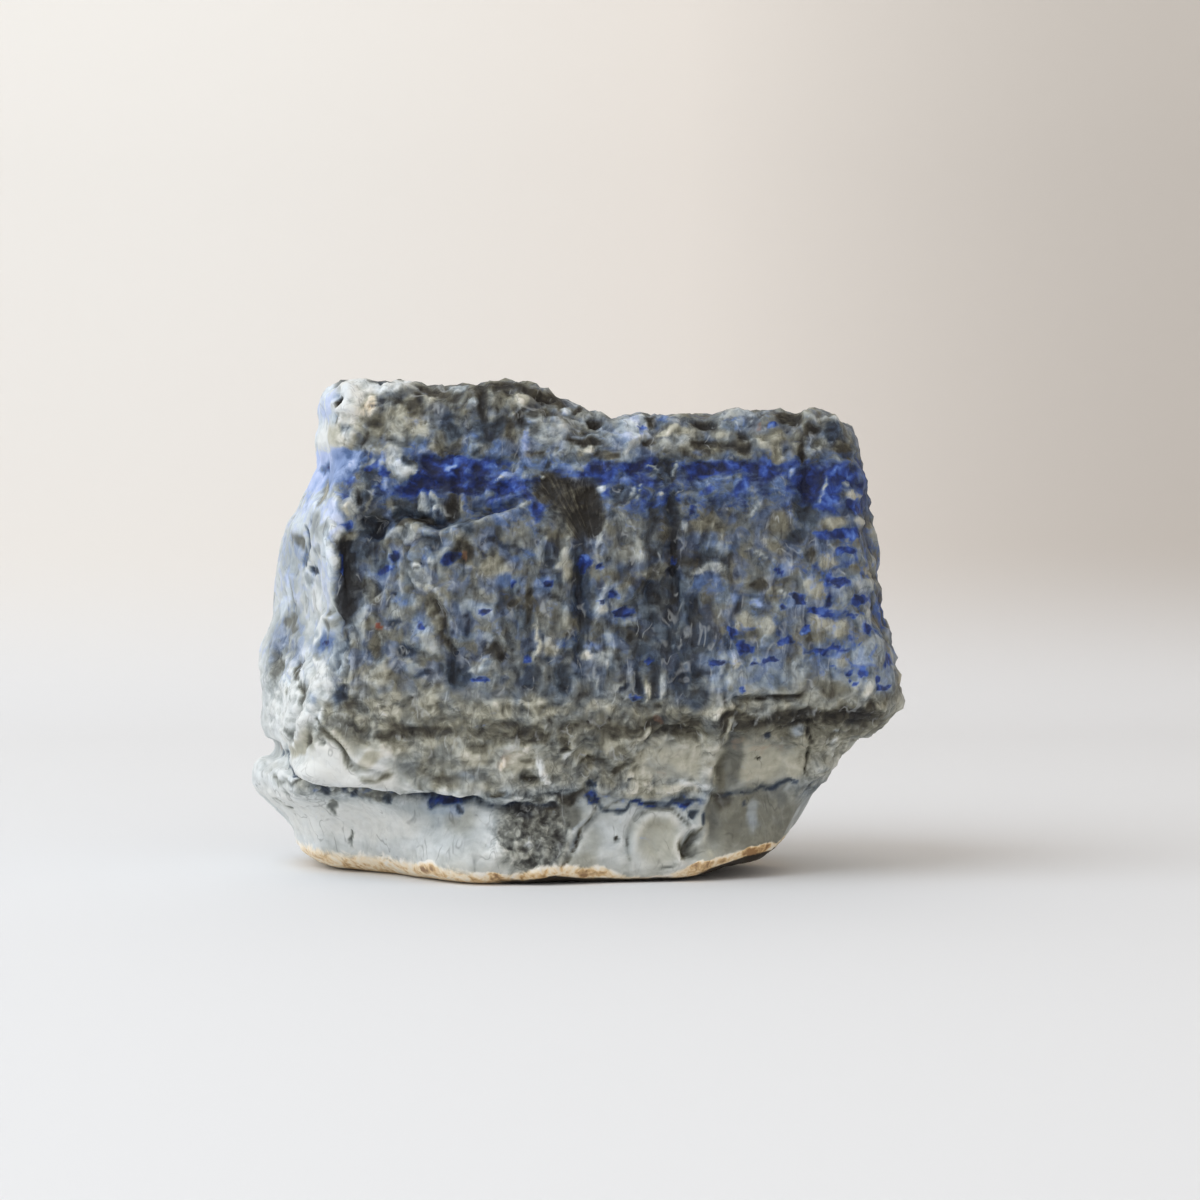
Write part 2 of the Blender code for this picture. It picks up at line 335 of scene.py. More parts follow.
dents = (  # single pits: (depth, across, up, half width, half height, lean), and rises under 0
    (0.7, -41, 63.3, 1.2, 2.2, -18), (0.5, -46.3, 55.2, 1, 1.5, 15), (0.4, -43.1, 50.8, 0.7, 1.1, -10),
    (0.4, -46.4, 42.2, 1.5, 2.4), (0.35, -46.8, 37.2, 1.8, 1.6), (0.4, -49.8, 33.8, 0.9, 2.8),
    (0.8, -37.7, 78.1, 0.35, 1, -25), (0.4, -38.2, 75.6, 0.4, 0.8, -25), (0.8, -43, 23.8, 0.7, 1.8, -25),
    (1.2, -51.5, 20, 2.2, 1.3), (0.8, -34.7, 62.2, 0.8, 1.2), (0.8, -20.6, 60.9, 1.8, 1.5),
    (0.7, -7.3, 17.8, 1.4, 1.2, -20), (0.3, -31.8, 38, 0.8, 1.4), (0.4, 30.4, 48.6, 1.8, 1),
    (0.35, 38.6, 53.2, 1.1, 1.2), (0.8, 37.5, 70.4, 0.7, 2), (0.8, 3.5, 75.4, 1.1, 0.9),
    (0.7, 21.5, 74.8, 1.5, 0.8), (0.9, 19.6, 5.4, 1.8, 2.4), (0.4, 7.2, 7, 0.4, 0.35),
    (0.2, 31.4, 23.9, 1.1, 0.5), (0.7, -28.8, 71.8, 1.2, 0.6, -30), (0.7, -5, 78.4, 1.4, 1.3),
    (1.3, 49.6, 50, 1, 1), (-0.5, -38.4, 72.6, 2, 2.6, -10), (-0.4, -36, 76.8, 1.8, 2.4, 15),
    (-0.5, -28.5, 69.6, 1.8, 3), (-0.4, -28.1, 66.4, 1.5, 1.2), (-0.8, -9.4, 77.4, 1.6, 1.9),
    (-1, -24.6, 62.4, 0.8, 1.5, -15), (-0.8, -22.8, 61.4, 0.4, 1.6), (-0.4, 27.6, 42.5, 1.9, 1.6),
    (-0.5, 31.2, 41.6, 1.7, 2.4), (-0.4, 38.4, 48.2, 1.8, 2), (-0.4, 43.4, 41.2, 1.7, 1.5),
    (-0.5, -4.6, 18, 0.8, 2.6, 20), (-0.4, -0.4, 21.6, 1.6, 0.8, 45), (-0.8, -37, 19.4, 5, 2.4, -20),
    (-0.7, 10, 71.7, 2.2, 0.8, 32), (-0.5, -14.4, 44.2, 1.3, 1), (-0.8, -53.4, 15.2, 1.4, 2.4))
footFront = (  # how far the front of the foot stands out
    (-26, 4), (-16, 3.4), (10, 3), (22, 3.6), (30, 2.4), (38, 0))
rimLift = (  # how far the foot's front edge is off the ground
    (-50, 0.4), (-33, 0.2), (-30, 0.35), (-26, 0.1), (-20, 0.2), (-12, 0), (-8, 0), (-5, 0.5), (-1, 0.7),
    (2, 0.3), (8, 0.1), (17, 0.1), (24, 0.4), (34, 0.6))
footShadeTop = (  # how far up the foot is painted dark as shade where it meets the floor
    (-14, -0.3), (-10, 0.3), (-6, 1.1), (-4, 0.6), (4, 0.3), (17, 0.3), (19, 0.6), (22, 1.7), (26, 3),
    (29, 4), (34, 4.8))
crustTop = (  # how far up the tan crust reaches
    (-46, 4.8), (-40, 4.2), (-33, 3.6), (-27, 3.4), (-20, 3), (-12, 2.2), (-3, 3.2), (5, 3), (8, 1.4),
    (15, 1.2), (18, 2.6), (23, 3.8), (29, 5.4), (34, 6.2))
crustFade = ((-40, 2), (-20, 1.4), (-10, 1), (34, 0.7))  # and over what height it fades out


def endsOf(share, fadeIn, fadeOut):
    return ease(share, 0.0, fadeIn) * (1.0 - ease(share, 1.0 - fadeOut, 1.0))


def carveDepth(points, shown):  # drawn grooves and pits, in mm inwards
    stirred = stir(points, 3.5, 0.5, 30)
    x, z = stirred[:, 0], stirred[:, 2]
    inward = np.zeros(len(x))
    for name, shapes, fadeIn, fadeOut in cuts:
        distance, share, side = lineDistance(x, z, rounded(lines[name]))
        ends = endsOf(share, fadeIn, fadeOut)
        for depth, place, half in shapes:
            inward += ends * depth * np.exp(-((side * distance - place) / half) ** 2)
    distance, share, side = lineDistance(x, z, lines["arris"])
    depth, place, half = block["arrisHollow"]
    groove = depth * np.exp(-((side * distance - place) / half) ** 2) * ease(share, 0.26, 0.38)
    inward += groove * (1.0 - ease(share, 0.56, 0.68))
    depth, place, half = block["arrisRidge"]
    inward += depth * np.exp(-((side * distance - place) / half) ** 2) * ease(share, 0.05, 0.2)
    for at, foot, top, half, depth in flutes:
        bent = x - at - 0.5 * np.sin(z / 5.0 + at)
        groove = depth * np.exp(-(bent / half) ** 2) * ease(z, foot - 3, foot + 3)
        inward += groove * (1 - ease(z, top - 3, top + 3))
    for depth, *oval in dents:
        inward += depth * spot(x, z, oval)
    return inward * shown


def smoothPlaces(points, facing, leftward):  # 1 where the stone is smooth
    x, z = points[:, 0], points[:, 2]
    lip = spot(x, z, smoothSpots["lip"], 0.4) * facing
    foot = 1.0 - ease(z, 12.0, 15.0)
    facet = spot(x, z, smoothSpots["facet"], 0.3) * facing
    tile = spot(x, z, smoothSpots["tile"], 0.4) * facing
    grey = 0.3 * spot(x, z, smoothSpots["grey"], 0.3) * facing
    grained = spot(x, z, smoothSpots["grained"], 0.3) * facing
    places = np.maximum.reduce([lip, grey, 0.95 * foot, 0.8 * facet, 0.75 * tile, 0.93 * leftward])
    places -= 0.45 * spot(x, z, smoothSpots["leftRough"], 0.4) * leftward
    return np.clip(places - grained, 0.0, 1.0)


def uprightShare(z, leftward):  # where the grain of the stone stands upright
    return ease(z, 29.0, 34.0) * (1.0 - ease(z, 56.0, 62.0)) * (1.0 - leftward)


def fineRelief(points, facing, smooth, leftward, shown):
    x, y, z = points.T
    upright = uprightShare(z, leftward)
    calm = 0.5 * ease(x, 17.0, 24.0) * facing * ease(z, 28.0, 31.0) * (1.0 - ease(z, 67.0, 70.0))
    stirred = stir(points, 6.0, 2.4, 40)
    size, height = block["lumps"]
    relief = height * cloud(points, size, 50, 3)
    size, height = block["knobs"]
    relief += height * cloud(stirred, (size, size, size * 0.9), 55, 2) * (1.0 - 0.75 * smooth)
    rough = np.zeros(len(points))
    size, height = block["beds"]
    layered = cloud(stirred, (size * 3.5, size * 3.5, size * 0.5), 60, 2)
    rough += height * np.tanh(2.5 * layered) * (1.0 - 0.4 * upright)
    size, height = block["flutes"]
    rough += height * upright * cloud(stirred, (size, size, size * 3.5), 70, 2)
    size, height = block["sheets"]
    standing = terraces(stirred, (size * 0.7, size * 0.7, size * 1.6), 74, 3)
    lying = terraces(stirred, (size * 1.3, size * 1.3, size * 0.8), 78, 3)
    rough += height * (lying + (standing - lying) * upright)
    size, height = block["wrinkles"]
    rough += height * (folds(stirred, (size, size, size * 1.5), 80, 3) - 0.35)
    size, height = block["facets"]
    tilt, edge, number = chips(stir(points, 5.0, 1.2, 44), (size, size, size * 1.2), 90)
    rough += height * (tilt + 0.35 * ease(edge, 0.0, 0.25) - 0.3)
    hidden = np.maximum(ease(y, 0.0, 12.0), ease(z, 66.0, 72.0) * ease(y, -16.0, -6.0))
    hidden *= (1.0 - shown) * ease(z, 6.0, 16.0)
    relief += rough * (1.0 - 0.85 * smooth) * (1.0 - calm) * (1.0 - 0.45 * hidden)
    size, height = block["breaks"]
    tilt, edge, number = chips(stir(points, 12.0, 3.0, 48), (size, size, size), 130)
    relief += height * np.minimum(tilt + 0.3 * (number - 0.5) - 0.15, 0.1) * hidden
    slanted = points.copy()
    slanted[:, 1] += 0.35 * z
    relief += leftward * 0.7 * cloud(stir(slanted, 9.0, 2.0, 47), (5.0, 5.0, 16.0), 100, 2)
    size, height = block["grit"]
    relief += height * cloud(points, size, 110, 2) * (1.0 - 0.7 * smooth)
    return relief


def footRim(points, normals, edges):  # the foot curls up from the ground near its outline
    under = ease(-normals[:, 2], 0.3, 0.9) * (1.0 - ease(points[:, 2], 2.0, 5.0))
    inner = ease(soften(under, edges, 110), 0.6, 0.97)
    front = profile(points[:, 0], rimLift)
    lift = front + (block["backRim"] - front) * (1.0 - ease(-points[:, 1], -2.0, 8.0))
    outline = (1.0 - inner) * (1.0 - ease(points[:, 2], 0.0, 7.0))
    return outline * lift * (1.0 + 0.5 * cloud(points, 4.0, 120, 2))


def makeStone():
    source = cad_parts["lapis_stone"]
    stone = bpy.data.objects.new("roughStone", source.data.copy())
    bpy.context.scene.collection.objects.link(stone)
    shape = bmesh.new()
    shape.from_mesh(stone.data)
    bmesh.ops.remove_doubles(shape, verts=shape.verts, dist=0.001 * mm)
    shape.to_mesh(stone.data)
    shape.free()
    remesh(stone, block["roughSkin"])
    edges = meshEdges(stone.data)
    points = meshPoints(stone.data)
    points = np.where(points[:, 2:] < 0.4, points, soften(points, edges, block["smoothing"]))
    points[:, 0] -= profile(points[:, 2], leftEnd) * ease(-points[:, 0], 28.0, 42.0)
    points[:, 0] += profile(points[:, 2], rightEnd) * ease(points[:, 0], 34.0, 46.0)
    points[:, 2] += profile(points[:, 0], topEdge) * ease(points[:, 2], 68.0, 77.0)
    low = (1.0 - ease(points[:, 2], 1.0, 10.0)) * ease(-points[:, 1], -14.0, 2.0)
    points[:, 0] -= block["footPush"] * low * ease(-points[:, 0], 34.0, 42.0)
    points[:, 1] -= profile(points[:, 0], footFront) * low
    setPoints(stone.data, points)
    remesh(stone, block["fineSkin"])
    print("skin:", len(stone.data.vertices), "points")
    refineFront(stone.data)
    print("finer front:", len(stone.data.vertices), "points")
    return stone


def refineFront(mesh):  # the front and the left face get a grid twice as fine
    shape = bmesh.new()
    shape.from_mesh(mesh)
    edges = [edge for edge in shape.edges if any(isShown(face) for face in edge.link_faces)]
    bmesh.ops.subdivide_edges(shape, edges=edges, cuts=1, use_grid_fill=True)
    bmesh.ops.triangulate(shape, faces=[face for face in shape.faces if len(face.verts) > 4])
    shape.to_mesh(mesh)
    shape.free()


def isShown(face):
    return face.normal.y < -0.35 or (face.normal.x < -0.6 and face.normal.y < 0.1)


def shapeStone(stone):
    mesh = stone.data
    edges = meshEdges(mesh)
    points = meshPoints(mesh)
    normals = soften(meshNormals(mesh), edges, 12)
    normals /= np.linalg.norm(normals, axis=1)[:, None]
    facing = ease(-normals[:, 1], 0.15, 0.6)
    leftward = ease(-normals[:, 0] - 0.4 * np.abs(normals[:, 1]), 0.25, 0.7)
    shown = np.maximum(ease(facing, 0.0, 0.2), ease(leftward, 0.3, 0.7) * ease(-points[:, 1], -8.0, 2.0))
    smooth = smoothPlaces(points, facing, leftward)
    under = ease(-normals[:, 2], 0.5, 0.9) * (1.0 - ease(points[:, 2], 1.0, 4.0))
    shares, raised = mineralShares(points, leftward, shown, under)
    relief = fineRelief(points, facing, smooth, leftward, shown) - carveDepth(points, shown)
    relief += block["paleRise"] * raised * (1.0 - 0.5 * smooth)
    relief *= ease(points[:, 2], 0.0, block["footFade"])
    moved = points + normals * relief[:, None]
    moved[:, 2] += footRim(points, normals, edges)
    moved[:, 2] = np.maximum(moved[:, 2], 0.0)
    setPoints(mesh, moved)
    mesh.shade_smooth()
    hollow = ((neighbourMean(moved, edges) - moved) * meshNormals(mesh)).sum(axis=1)
    shares["hollow"] = np.clip(soften(hollow, edges, 2) / 0.07, -1.5, 1.5)
    shares["smooth"] = smooth
    shares["upright"] = uprightShare(points[:, 2], leftward)
    return shares


# What the stone is made of, point by point
bands = {  # by height in mm
    "lightness": (
        (0, 0.76), (5, 0.85), (11, 0.83), (13.4, 0.64), (14.6, 0.48), (15.8, 0.62), (17, 0.67),
        (21.8, 0.66), (23.8, 0.47), (26.2, 0.38), (27.8, 0.54), (33, 0.48), (38, 0.37), (56, 0.37),
        (60, 0.34), (69, 0.34), (71, 0.43), (76, 0.42), (82, 0.32)),
    "coolness": (
        (0, 0.2), (6, 0.62), (13, 0.7), (15, 0.6), (17, 0.2), (22, 0.15), (24, 0.1), (28, 0.15),
        (33, 0.34), (40, 0.42), (56, 0.42), (62, 0.6), (69, 0.55), (71, 0.4), (82, 0.2)),
    "lazurite": (
        (12.5, 0), (14.2, 0.22), (16, 0), (30, 0), (36, 0.14), (42, 0.2), (56, 0.2), (60, 0.3),
        (62.5, 0.5), (65, 0.6), (68.4, 0.62), (69.2, 0.32), (70.6, 0.14), (76, 0.14), (82, 0.08)),
    "haze": (
        (14, 0), (30, 0), (36, 0.45), (56, 0.5), (60, 0.65), (62, 0.8), (69, 0.85), (72, 0.3), (82, 0.1)),
}
bedWaves = {"size": 22.0, "height": 1.0, "ripple": 3.2, "rippleHeight": 0.8}


def bedHeights(points):
    size = bedWaves["size"]
    slow = cloud(points, (size, size, size * 0.7), 200, 2)
    ripple = cloud(stir(points, 3.0, 1.0, 210), bedWaves["ripple"], 220, 2)
    straight = 1.0 - 0.6 * ease(points[:, 0], 14.0, 24.0) * ease(-points[:, 1], 0.0, 10.0)
    return points[:, 2] + (bedWaves["height"] * slow + bedWaves["rippleHeight"] * ripple) * straight


plainKinds = {  # stone that patches and veins are made of: (lightness, coolness, lazurite, haze)
    "chalk": (0.98, 0.4, 0, 0), "snow": (0.94, 0.55, 0, 0), "lilac": (0.88, 1, 0.1, 0.75),
    "cream": (0.76, 0, 0, 0), "buff": (0.62, 0.05, 0, 0), "pale": (0.64, 0.6, 0, 0.1),
    # the kind with no lightness at all is painted shade, laid into the hollow beside the left arris, the
    # crevice, the groove under the rolled lip and an upright groove
    "moss": (0.4, 0, 0, 0), "olive": (0.24, 0, 0, 0), "gloom": (0, 0.5, 0, 0), "umber": (0.06, 0, 0, 0),
    "slate": (0.14, 1, 0.05, 0.3), "veil": (0.62, 1, 0.1, 0.5), "flint": (0.5, 0.12, 0, 0),
    "marl": (0.74, 0.15, 0, 0), "mauve": (0.86, 1, 0, 3), "violet": (0.66, 1, 0, 3),
    "drab": (0.42, 0.25, 0, 0), "dusk": (0.18, 0.75, 0.05, 0.2),
}
kinds = {  # kinds that change other shares too, or fewer
    "ash": {"lightness": 0.46, "coolness": 0.3, "haze": 0},
    "gold": {"ochre": 1.35},
    "azure": {"lightness": 0.46, "coolness": 1, "haze": 1, "lazurite": 0.3, "blueTone": 0.5},
    "sky": {"lightness": 0.72, "haze": 1, "lazurite": 0.5, "blueTone": 0.85},
    "royal": {"lazurite": 0.86, "haze": 1, "blueTone": 0.42},
    "navy": {"lazurite": 0.92, "haze": 1, "blueTone": 0.12, "lightness": 0.2},
    "tuft": {"lightness": -0.02, "coolness": 0, "lazurite": 0, "haze": 0, "tuft": 1},
    "blush": {"rust": 0.55},
    "tan": {"ochre": 0.62, "lightness": 0.75, "coolness": 0},
    "rust": {"rust": 0.9},
    "red": {"rust": 1.6},
}
for name, values in plainKinds.items():
    kinds[name] = dict(zip(("lightness", "coolness", "lazurite", "haze"), values))

# Patches on the front and the left face, laid one over another in this order: (kind, then its ovals),
# an oval being (across, up, half width, half height, lean in degrees), with no lean where it is upright
patches = {
    "topLeftShoulder": (
        ("lilac", (-40.5, 77, 3, 5.5)), ("snow", (-35.8, 77.4, 2.4, 3.4, 12), (-32.2, 80.3, 6, 1.2, 2)),
        ("tan", (-33.3, 76.8, 1.2, 2.2, -20)), ("moss", (-32.2, 73.6, 1.4, 3.6, -30)),
        ("umber", (-34, 71.6, 0.7, 1.5, -25), (-37.7, 78.1, 0.35, 0.9, -25)),
        ("buff", (-28.8, 75.8, 1.8, 1.2), (-23.6, 78, 1.4, 1.2)), ("cream", (-37.6, 72.8, 2, 2.8, -10)),
        ("pale", (-36.6, 73.4, 0.8, 1.6)), ("ash", (-38.2, 75.6, 0.4, 0.9, -25), (-32.6, 71, 1.8, 1.4)),
        ("pale", (-33.4, 68.8, 1.2, 0.5, 10)), ("buff", (-28.6, 73.6, 2, 1.6), (-25, 74.6, 1.5, 0.9),
        (-24.4, 73, 1.6, 1.2)), ("olive", (-25.6, 77, 1.4, 1.3)), ("umber", (-28.8, 71.8, 1.2, 0.5, -30),
        (-25.2, 78.6, 0.7, 1.2)), ("olive", (-21, 79.2, 2.6, 1.2)), ("pale", (-19, 80.2, 2, 0.7, 10),
        (-28.6, 69.6, 1.7, 3.2), (-28, 66.9, 2, 1.6)), ("slate", (-20.4, 74.2, 1.2, 2.2)),
        ("umber", (-24, 80.6, 1.8, 0.5, -10)), ("azure", (-25, 70.8, 1.6, 1.2)),
        ("ash", (-21.8, 70.8, 1.6, 1.4)), ("slate", (-26.6, 68, 0.7, 1.6))),
    "topMiddle": (
        ("umber", (-15, 78.2, 0.9, 2.6), (-11.5, 81, 3.4, 0.9)), ("pale", (-16.6, 77.5, 0.6, 0.35)),
        ("cream", (-8.9, 77.9, 1.2, 1.5)), ("moss", (-12.2, 78.4, 1.4, 1.6)),
        ("umber", (-4.8, 78.8, 2.4, 1.3, -15), (-7.4, 79.8, 1.2, 0.8, -15)),
        ("lilac", (-1.4, 77.2, 0.9, 0.6, -15)), ("umber", (0.8, 77.2, 0.9, 0.5)),
        ("ash", (-1, 75.2, 2, 1)), ("olive", (-10.6, 73.6, 0.8, 2.6, 25)),
        ("umber", (-8.2, 75.6, 0.6, 1.6, -20)), ("slate", (-14.6, 73.4, 3, 1.8)),
        ("azure", (-16.6, 73, 1.6, 0.9), (-12.4, 71.4, 1.2, 0.8)), ("dusk", (-8, 73.6, 1.6, 1.1)),
        ("olive", (-5.6, 75.9, 2, 0.8)), ("pale", (-3.6, 72.8, 2.2, 1.4)),
        ("sky", (-7.4, 71.4, 0.9, 2, 10)), ("umber", (2.2, 71.6, 3.4, 0.6, -4)),
        ("ash", (1.4, 73.8, 2, 0.9)), ("olive", (-6, 69.6, 1.6, 0.5, -20))),
    "topRight": (
        ("veil", (9.4, 73.2, 3.4, 2.4)), ("umber", (3.6, 75.2, 1.1, 0.9), (21.4, 74.8, 1.6, 0.8)),
        ("lilac", (10.2, 73.5, 2.4, 1.7, 10)), ("veil", (8.4, 69.8, 2.4, 1.2)),
        ("royal", (11, 74, 0.9, 1)), ("umber", (12.6, 75.4, 0.9, 0.8)), ("azure", (15, 75.4, 1.4, 0.9),
        (26, 74.4, 1.9, 1)), ("pale", (9.2, 71.2, 2.4, 0.6, 32), (28.6, 74.4, 1.3, 0.3, 50),
        (27, 76.2, 3, 0.6)), ("olive", (12.6, 71.6, 1.6, 0.7), (5.2, 69.9, 1.7, 0.8)),
        ("pale", (16.2, 71.4, 2.2, 1.2)), ("cream", (2.8, 70.4, 1.6, 0.5, 15),
        (15.4, 73.4, 1.8, 0.6, 10)), ("buff", (18.6, 73, 1.8, 0.9), (23.8, 73.2, 1.6, 0.8)),
        ("umber", (20.8, 71, 2.2, 0.9)), ("olive", (23.6, 70.8, 3, 1.1)),
        ("umber", (27.6, 71.4, 1.4, 1.6)), ("rust", (30.5, 74.2, 0.6, 0.6)),
        ("royal", (32.4, 74, 0.9, 0.7)), ("buff", (31.9, 71.9, 1.7, 1.8), (33, 69.8, 0.8, 1.4, 10)),
        ("umber", (35.4, 75.4, 2, 1)), ("pale", (40.4, 75.2, 2.8, 0.22, -14)),
        ("umber", (38.6, 74, 1.4, 0.9)), ("ash", (36.4, 71.8, 1.6, 1.6)),
        ("umber", (37.5, 69.8, 0.5, 1.8)), ("slate", (42.2, 73, 2, 0.9, -15)),
        ("olive", (43.6, 71, 2.2, 1.2)), ("ash", (40.4, 70.8, 1.2, 1.2))),
    "blueBed": (
        ("royal", (5.6, 66, 1.8, 0.8, 40), (46.4, 61.4, 1.2, 1.6)), ("slate", (7.8, 63.2, 1.2, 2, -20),
        (14.6, 67.2, 1.6, 2.2)), ("pale", (16.3, 67.6, 0.18, 1.2, -35), (9, 63.2, 0.2, 2, -28),
        (10.2, 63.4, 0.2, 1.8, -33), (13.8, 63.2, 0.5, 0.4)), ("navy", (9.2, 67.6, 2.2, 0.8),
        (21.6, 67.4, 3.2, 1.1), (27.4, 67.6, 2.4, 1)), ("mauve", (-42, 66.4, 3.4, 4.2, -10)),
        ("lilac", (-42, 61, 2.6, 4, -20), (4.6, 64, 0.9, 0.6, 20)), ("snow", (-40.8, 72.4, 1.8, 2.4)),
        ("violet", (-38.2, 67.4, 1.6, 2.8), (-35.9, 67.8, 2, 2.2), (-39.8, 65.4, 1.2, 1.6)),
        ("azure", (-33.8, 67.8, 1.2, 1.3), (-41, 67.4, 0.9, 1), (24, 64.4, 3.6, 1.6)),
        ("royal", (31.2, 67.4, 1.4, 2), (21.2, 64, 0.9, 0.7), (27.4, 62.8, 0.8, 1.8, -15)),
        ("pale", (12.8, 67.3, 1, 0.2, -10), (26.7, 65.2, 0.3, 0.4), (28, 60.5, 0.3, 0.8, -35)),
        ("slate", (-32.8, 66, 1.8, 1.4)), ("royal", (-33.2, 67.2, 0.9, 0.7)),
        ("sky", (-31, 68.4, 0.5, 1.6)), ("royal", (-30.4, 66.2, 0.8, 1)),
        ("sky", (-30.2, 64.4, 0.7, 0.8)), ("azure", (-28.2, 64.6, 1.8, 1.2, 20), (33.6, 64, 1.4, 1.6)),
        ("royal", (-27.6, 63.8, 1.2, 0.8, 20)), ("navy", (-25.6, 65.2, 2.2, 1.3, 35)),
        ("lilac", (-27.6, 67.4, 1.9, 1.3)), ("navy", (-22.8, 66.8, 2.2, 2.6)),
        ("royal", (-18.4, 68.6, 2.6, 1.4, 5)), ("navy", (-19.2, 66.2, 2.6, 1), (-19, 64.2, 1.8, 0.8)),
        ("sky", (-19.8, 67.3, 0.9, 0.4), (35.8, 66.5, 0.5, 0.9)), ("royal", (-13.6, 67.6, 1.6, 1.6)),
        ("navy", (-15.6, 66.6, 1, 1.6)), ("azure", (-16.6, 70.6, 1.4, 1)),
        ("sky", (-9.6, 66.8, 3.8, 0.5, 22)), ("azure", (-8.6, 68, 1.8, 1, 20), (-3, 68.4, 2.2, 0.8, 15),
        (-7, 67.2, 1.8, 0.9, 20), (1, 68.2, 1.8, 1.2)), ("slate", (-4.4, 67.6, 0.4, 1, -30),
        (38, 62, 1.7, 4.6)), ("ash", (1.4, 69.2, 0.8, 0.4), (29.4, 64, 0.7, 2.6)),
        ("navy", (3.8, 67, 1.2, 0.4, 40), (38.4, 64.4, 2, 3.3)), ("royal", (-10.2, 64.2, 2.2, 0.8, 4)),
        ("azure", (-14, 63.6, 1.6, 0.5, 10)), ("pale", (40.6, 64, 0.25, 2.6)),
        ("royal", (43.4, 66.4, 2.8, 1.2), (42, 63.2, 1.6, 1.6), (41.6, 61, 1.4, 0.8)),
        ("buff", (45.6, 63.3, 1, 0.8, -30)), ("pale", (44.4, 65, 0.8, 0.5))),
    # the slate and umber ovals along the crevice's hollow are partly the stone's dark colour and partly
    # painted shade
    "crevice": (
        ("dusk", (-33.2, 60, 2, 4.6, 8)), ("moss", (-33.6, 56.4, 1.6, 1.2), (-28.5, 61.3, 1.8, 1.1)),
        ("ash", (-32.6, 62.4, 0.3, 2.4, -15), (-12.6, 62, 2.4, 0.7, 12)),
        ("pale", (-35.8, 61.2, 1.3, 2.4, -12)), ("gloom", (-34.7, 62.4, 0.6, 0.9)),
        ("ash", (-34.4, 64.4, 0.8, 1.2)), ("cream", (-36.3, 60.6, 0.4, 0.9)),
        ("slate", (-24, 60.6, 5, 2.2)), ("umber", (-26.2, 59.4, 3, 0.6)),
        ("pale", (-24.6, 62, 1, 1.5, -20), (-21.9, 62.6, 0.6, 1.7, 25), (-27, 57, 2.2, 1.4)),
        ("snow", (-22.9, 61.2, 0.2, 1.7)), ("umber", (-19.6, 61.4, 1.8, 1.6)),
        ("ash", (-17.6, 62.2, 1, 1.2)), ("dusk", (-23, 55.2, 1.7, 1.2)),
        ("azure", (-19.6, 57.2, 1.2, 0.5, 10))),
    "scar": (
        ("lilac", (-38.6, 60, 1.3, 2.6, -14), (-39.4, 53.6, 1.1, 4.8, -3)),
        ("royal", (-37.2, 58.2, 1.4, 0.8, 25)), ("lilac", (-38.2, 57, 1, 1.3)),
        ("gloom", (-36.2, 54.2, 1.8, 2.6), (-36.4, 49.4, 1.8, 4.6, 4), (-36.8, 45, 1.3, 2.8, 12)),
        ("slate", (-33.6, 55, 1.8, 2.6, -20)), ("veil", (-31.8, 49.5, 1.8, 2)),
        ("royal", (-37.9, 51.6, 0.45, 2.4)), ("moss", (-36.4, 56.4, 1.4, 0.8))),
    "tuft": (
        ("drab", (-0.8, 58.6, 2.6, 2.6, -20)), ("tuft", (-1.9, 63, 4.8, 2.9, -30),
        (2, 60.6, 2.8, 4.4, 10)), ("snow", (-4.9, 66.4, 0.35, 0.35))),
    "middleLeft": (
        ("slate", (-27.4, 38.2, 1.8, 1.2), (-24.2, 34, 1.2, 0.6), (-37.8, 31.4, 1.2, 1.6, 15)),
        ("azure", (-29.8, 51.2, 1.8, 1.5, 40), (-24.6, 53.6, 2.6, 0.9, -10), (-27.2, 46.8, 1.6, 0.9)),
        ("royal", (-30.2, 50.8, 1, 0.7)), ("ash", (-32.6, 47.4, 1.8, 2), (-28, 44.6, 2.4, 1.2),
        (-39.4, 42, 1.2, 1.2)), ("pale", (-23.2, 52.4, 0.9, 0.3, -60), (-34.4, 42, 1, 4)),
        ("slate", (-29, 47, 0.4, 0.4), (-28.6, 42.8, 1.2, 0.6, 30)),
        ("snow", (-25, 51.8, 0.9, 0.25, -60)), ("pale", (-25, 49.6, 2.6, 1.6)),
        ("moss", (-31.8, 38, 0.7, 1.5), (-22, 44.6, 1.4, 3.4, 20)), ("red", (-31.6, 41.2, 0.7, 0.6)),
        ("olive", (-20.4, 41.2, 0.4, 3, 10)), ("umber", (-18.2, 53.6, 1.6, 1.8)),
        ("rust", (-18.2, 53, 0.6, 0.9)), ("navy", (-20, 52.8, 1.2, 0.7)), ("pale", (-22.6, 39, 1.6, 2)),
        ("slate", (-18.6, 34.6, 2.4, 2.6)), ("buff", (-32, 33.8, 2.8, 1.8), (-28.8, 30.4, 1.8, 1.4),
        (-31.6, 28.6, 2.6, 1), (-24, 29.8, 1.8, 2.2)), ("ash", (-28, 29.2, 0.8, 0.8)),
        ("veil", (-37.9, 36.3, 2.2, 2)), ("ash", (-41.6, 37.2, 0.8, 1.4)),
        ("veil", (-40, 38.9, 2.6, 1.7, 5)), ("slate", (-37.2, 38.8, 0.5, 1.4, -30)),
        ("pale", (-36, 39.6, 1.2, 0.5, 35))),
    "middle": (
        ("pale", (-14.2, 43.9, 1.7, 1.2), (4.2, 32, 0.4, 1.6, 20), (13.4, 51.2, 2.6, 0.4, 12),
        (13.9, 46.8, 0.3, 1.8)), ("azure", (-4, 48.8, 1.3, 1.1), (-11.2, 58.6, 1.4, 0.9),
        (-17, 40, 1.8, 0.6, 5), (12.3, 36, 1.2, 1.4)), ("slate", (-17, 57.6, 1.3, 0.9, 20),
        (1.8, 45.2, 1.4, 4.2), (1.9, 52, 0.9, 4.6), (-1.8, 33, 1.1, 2.2), (8, 32.6, 1.2, 0.7, 30),
        (10.6, 32.6, 0.6, 3)), ("umber", (-7, 45.4, 0.5, 3.6), (-1.6, 44, 0.5, 0.9),
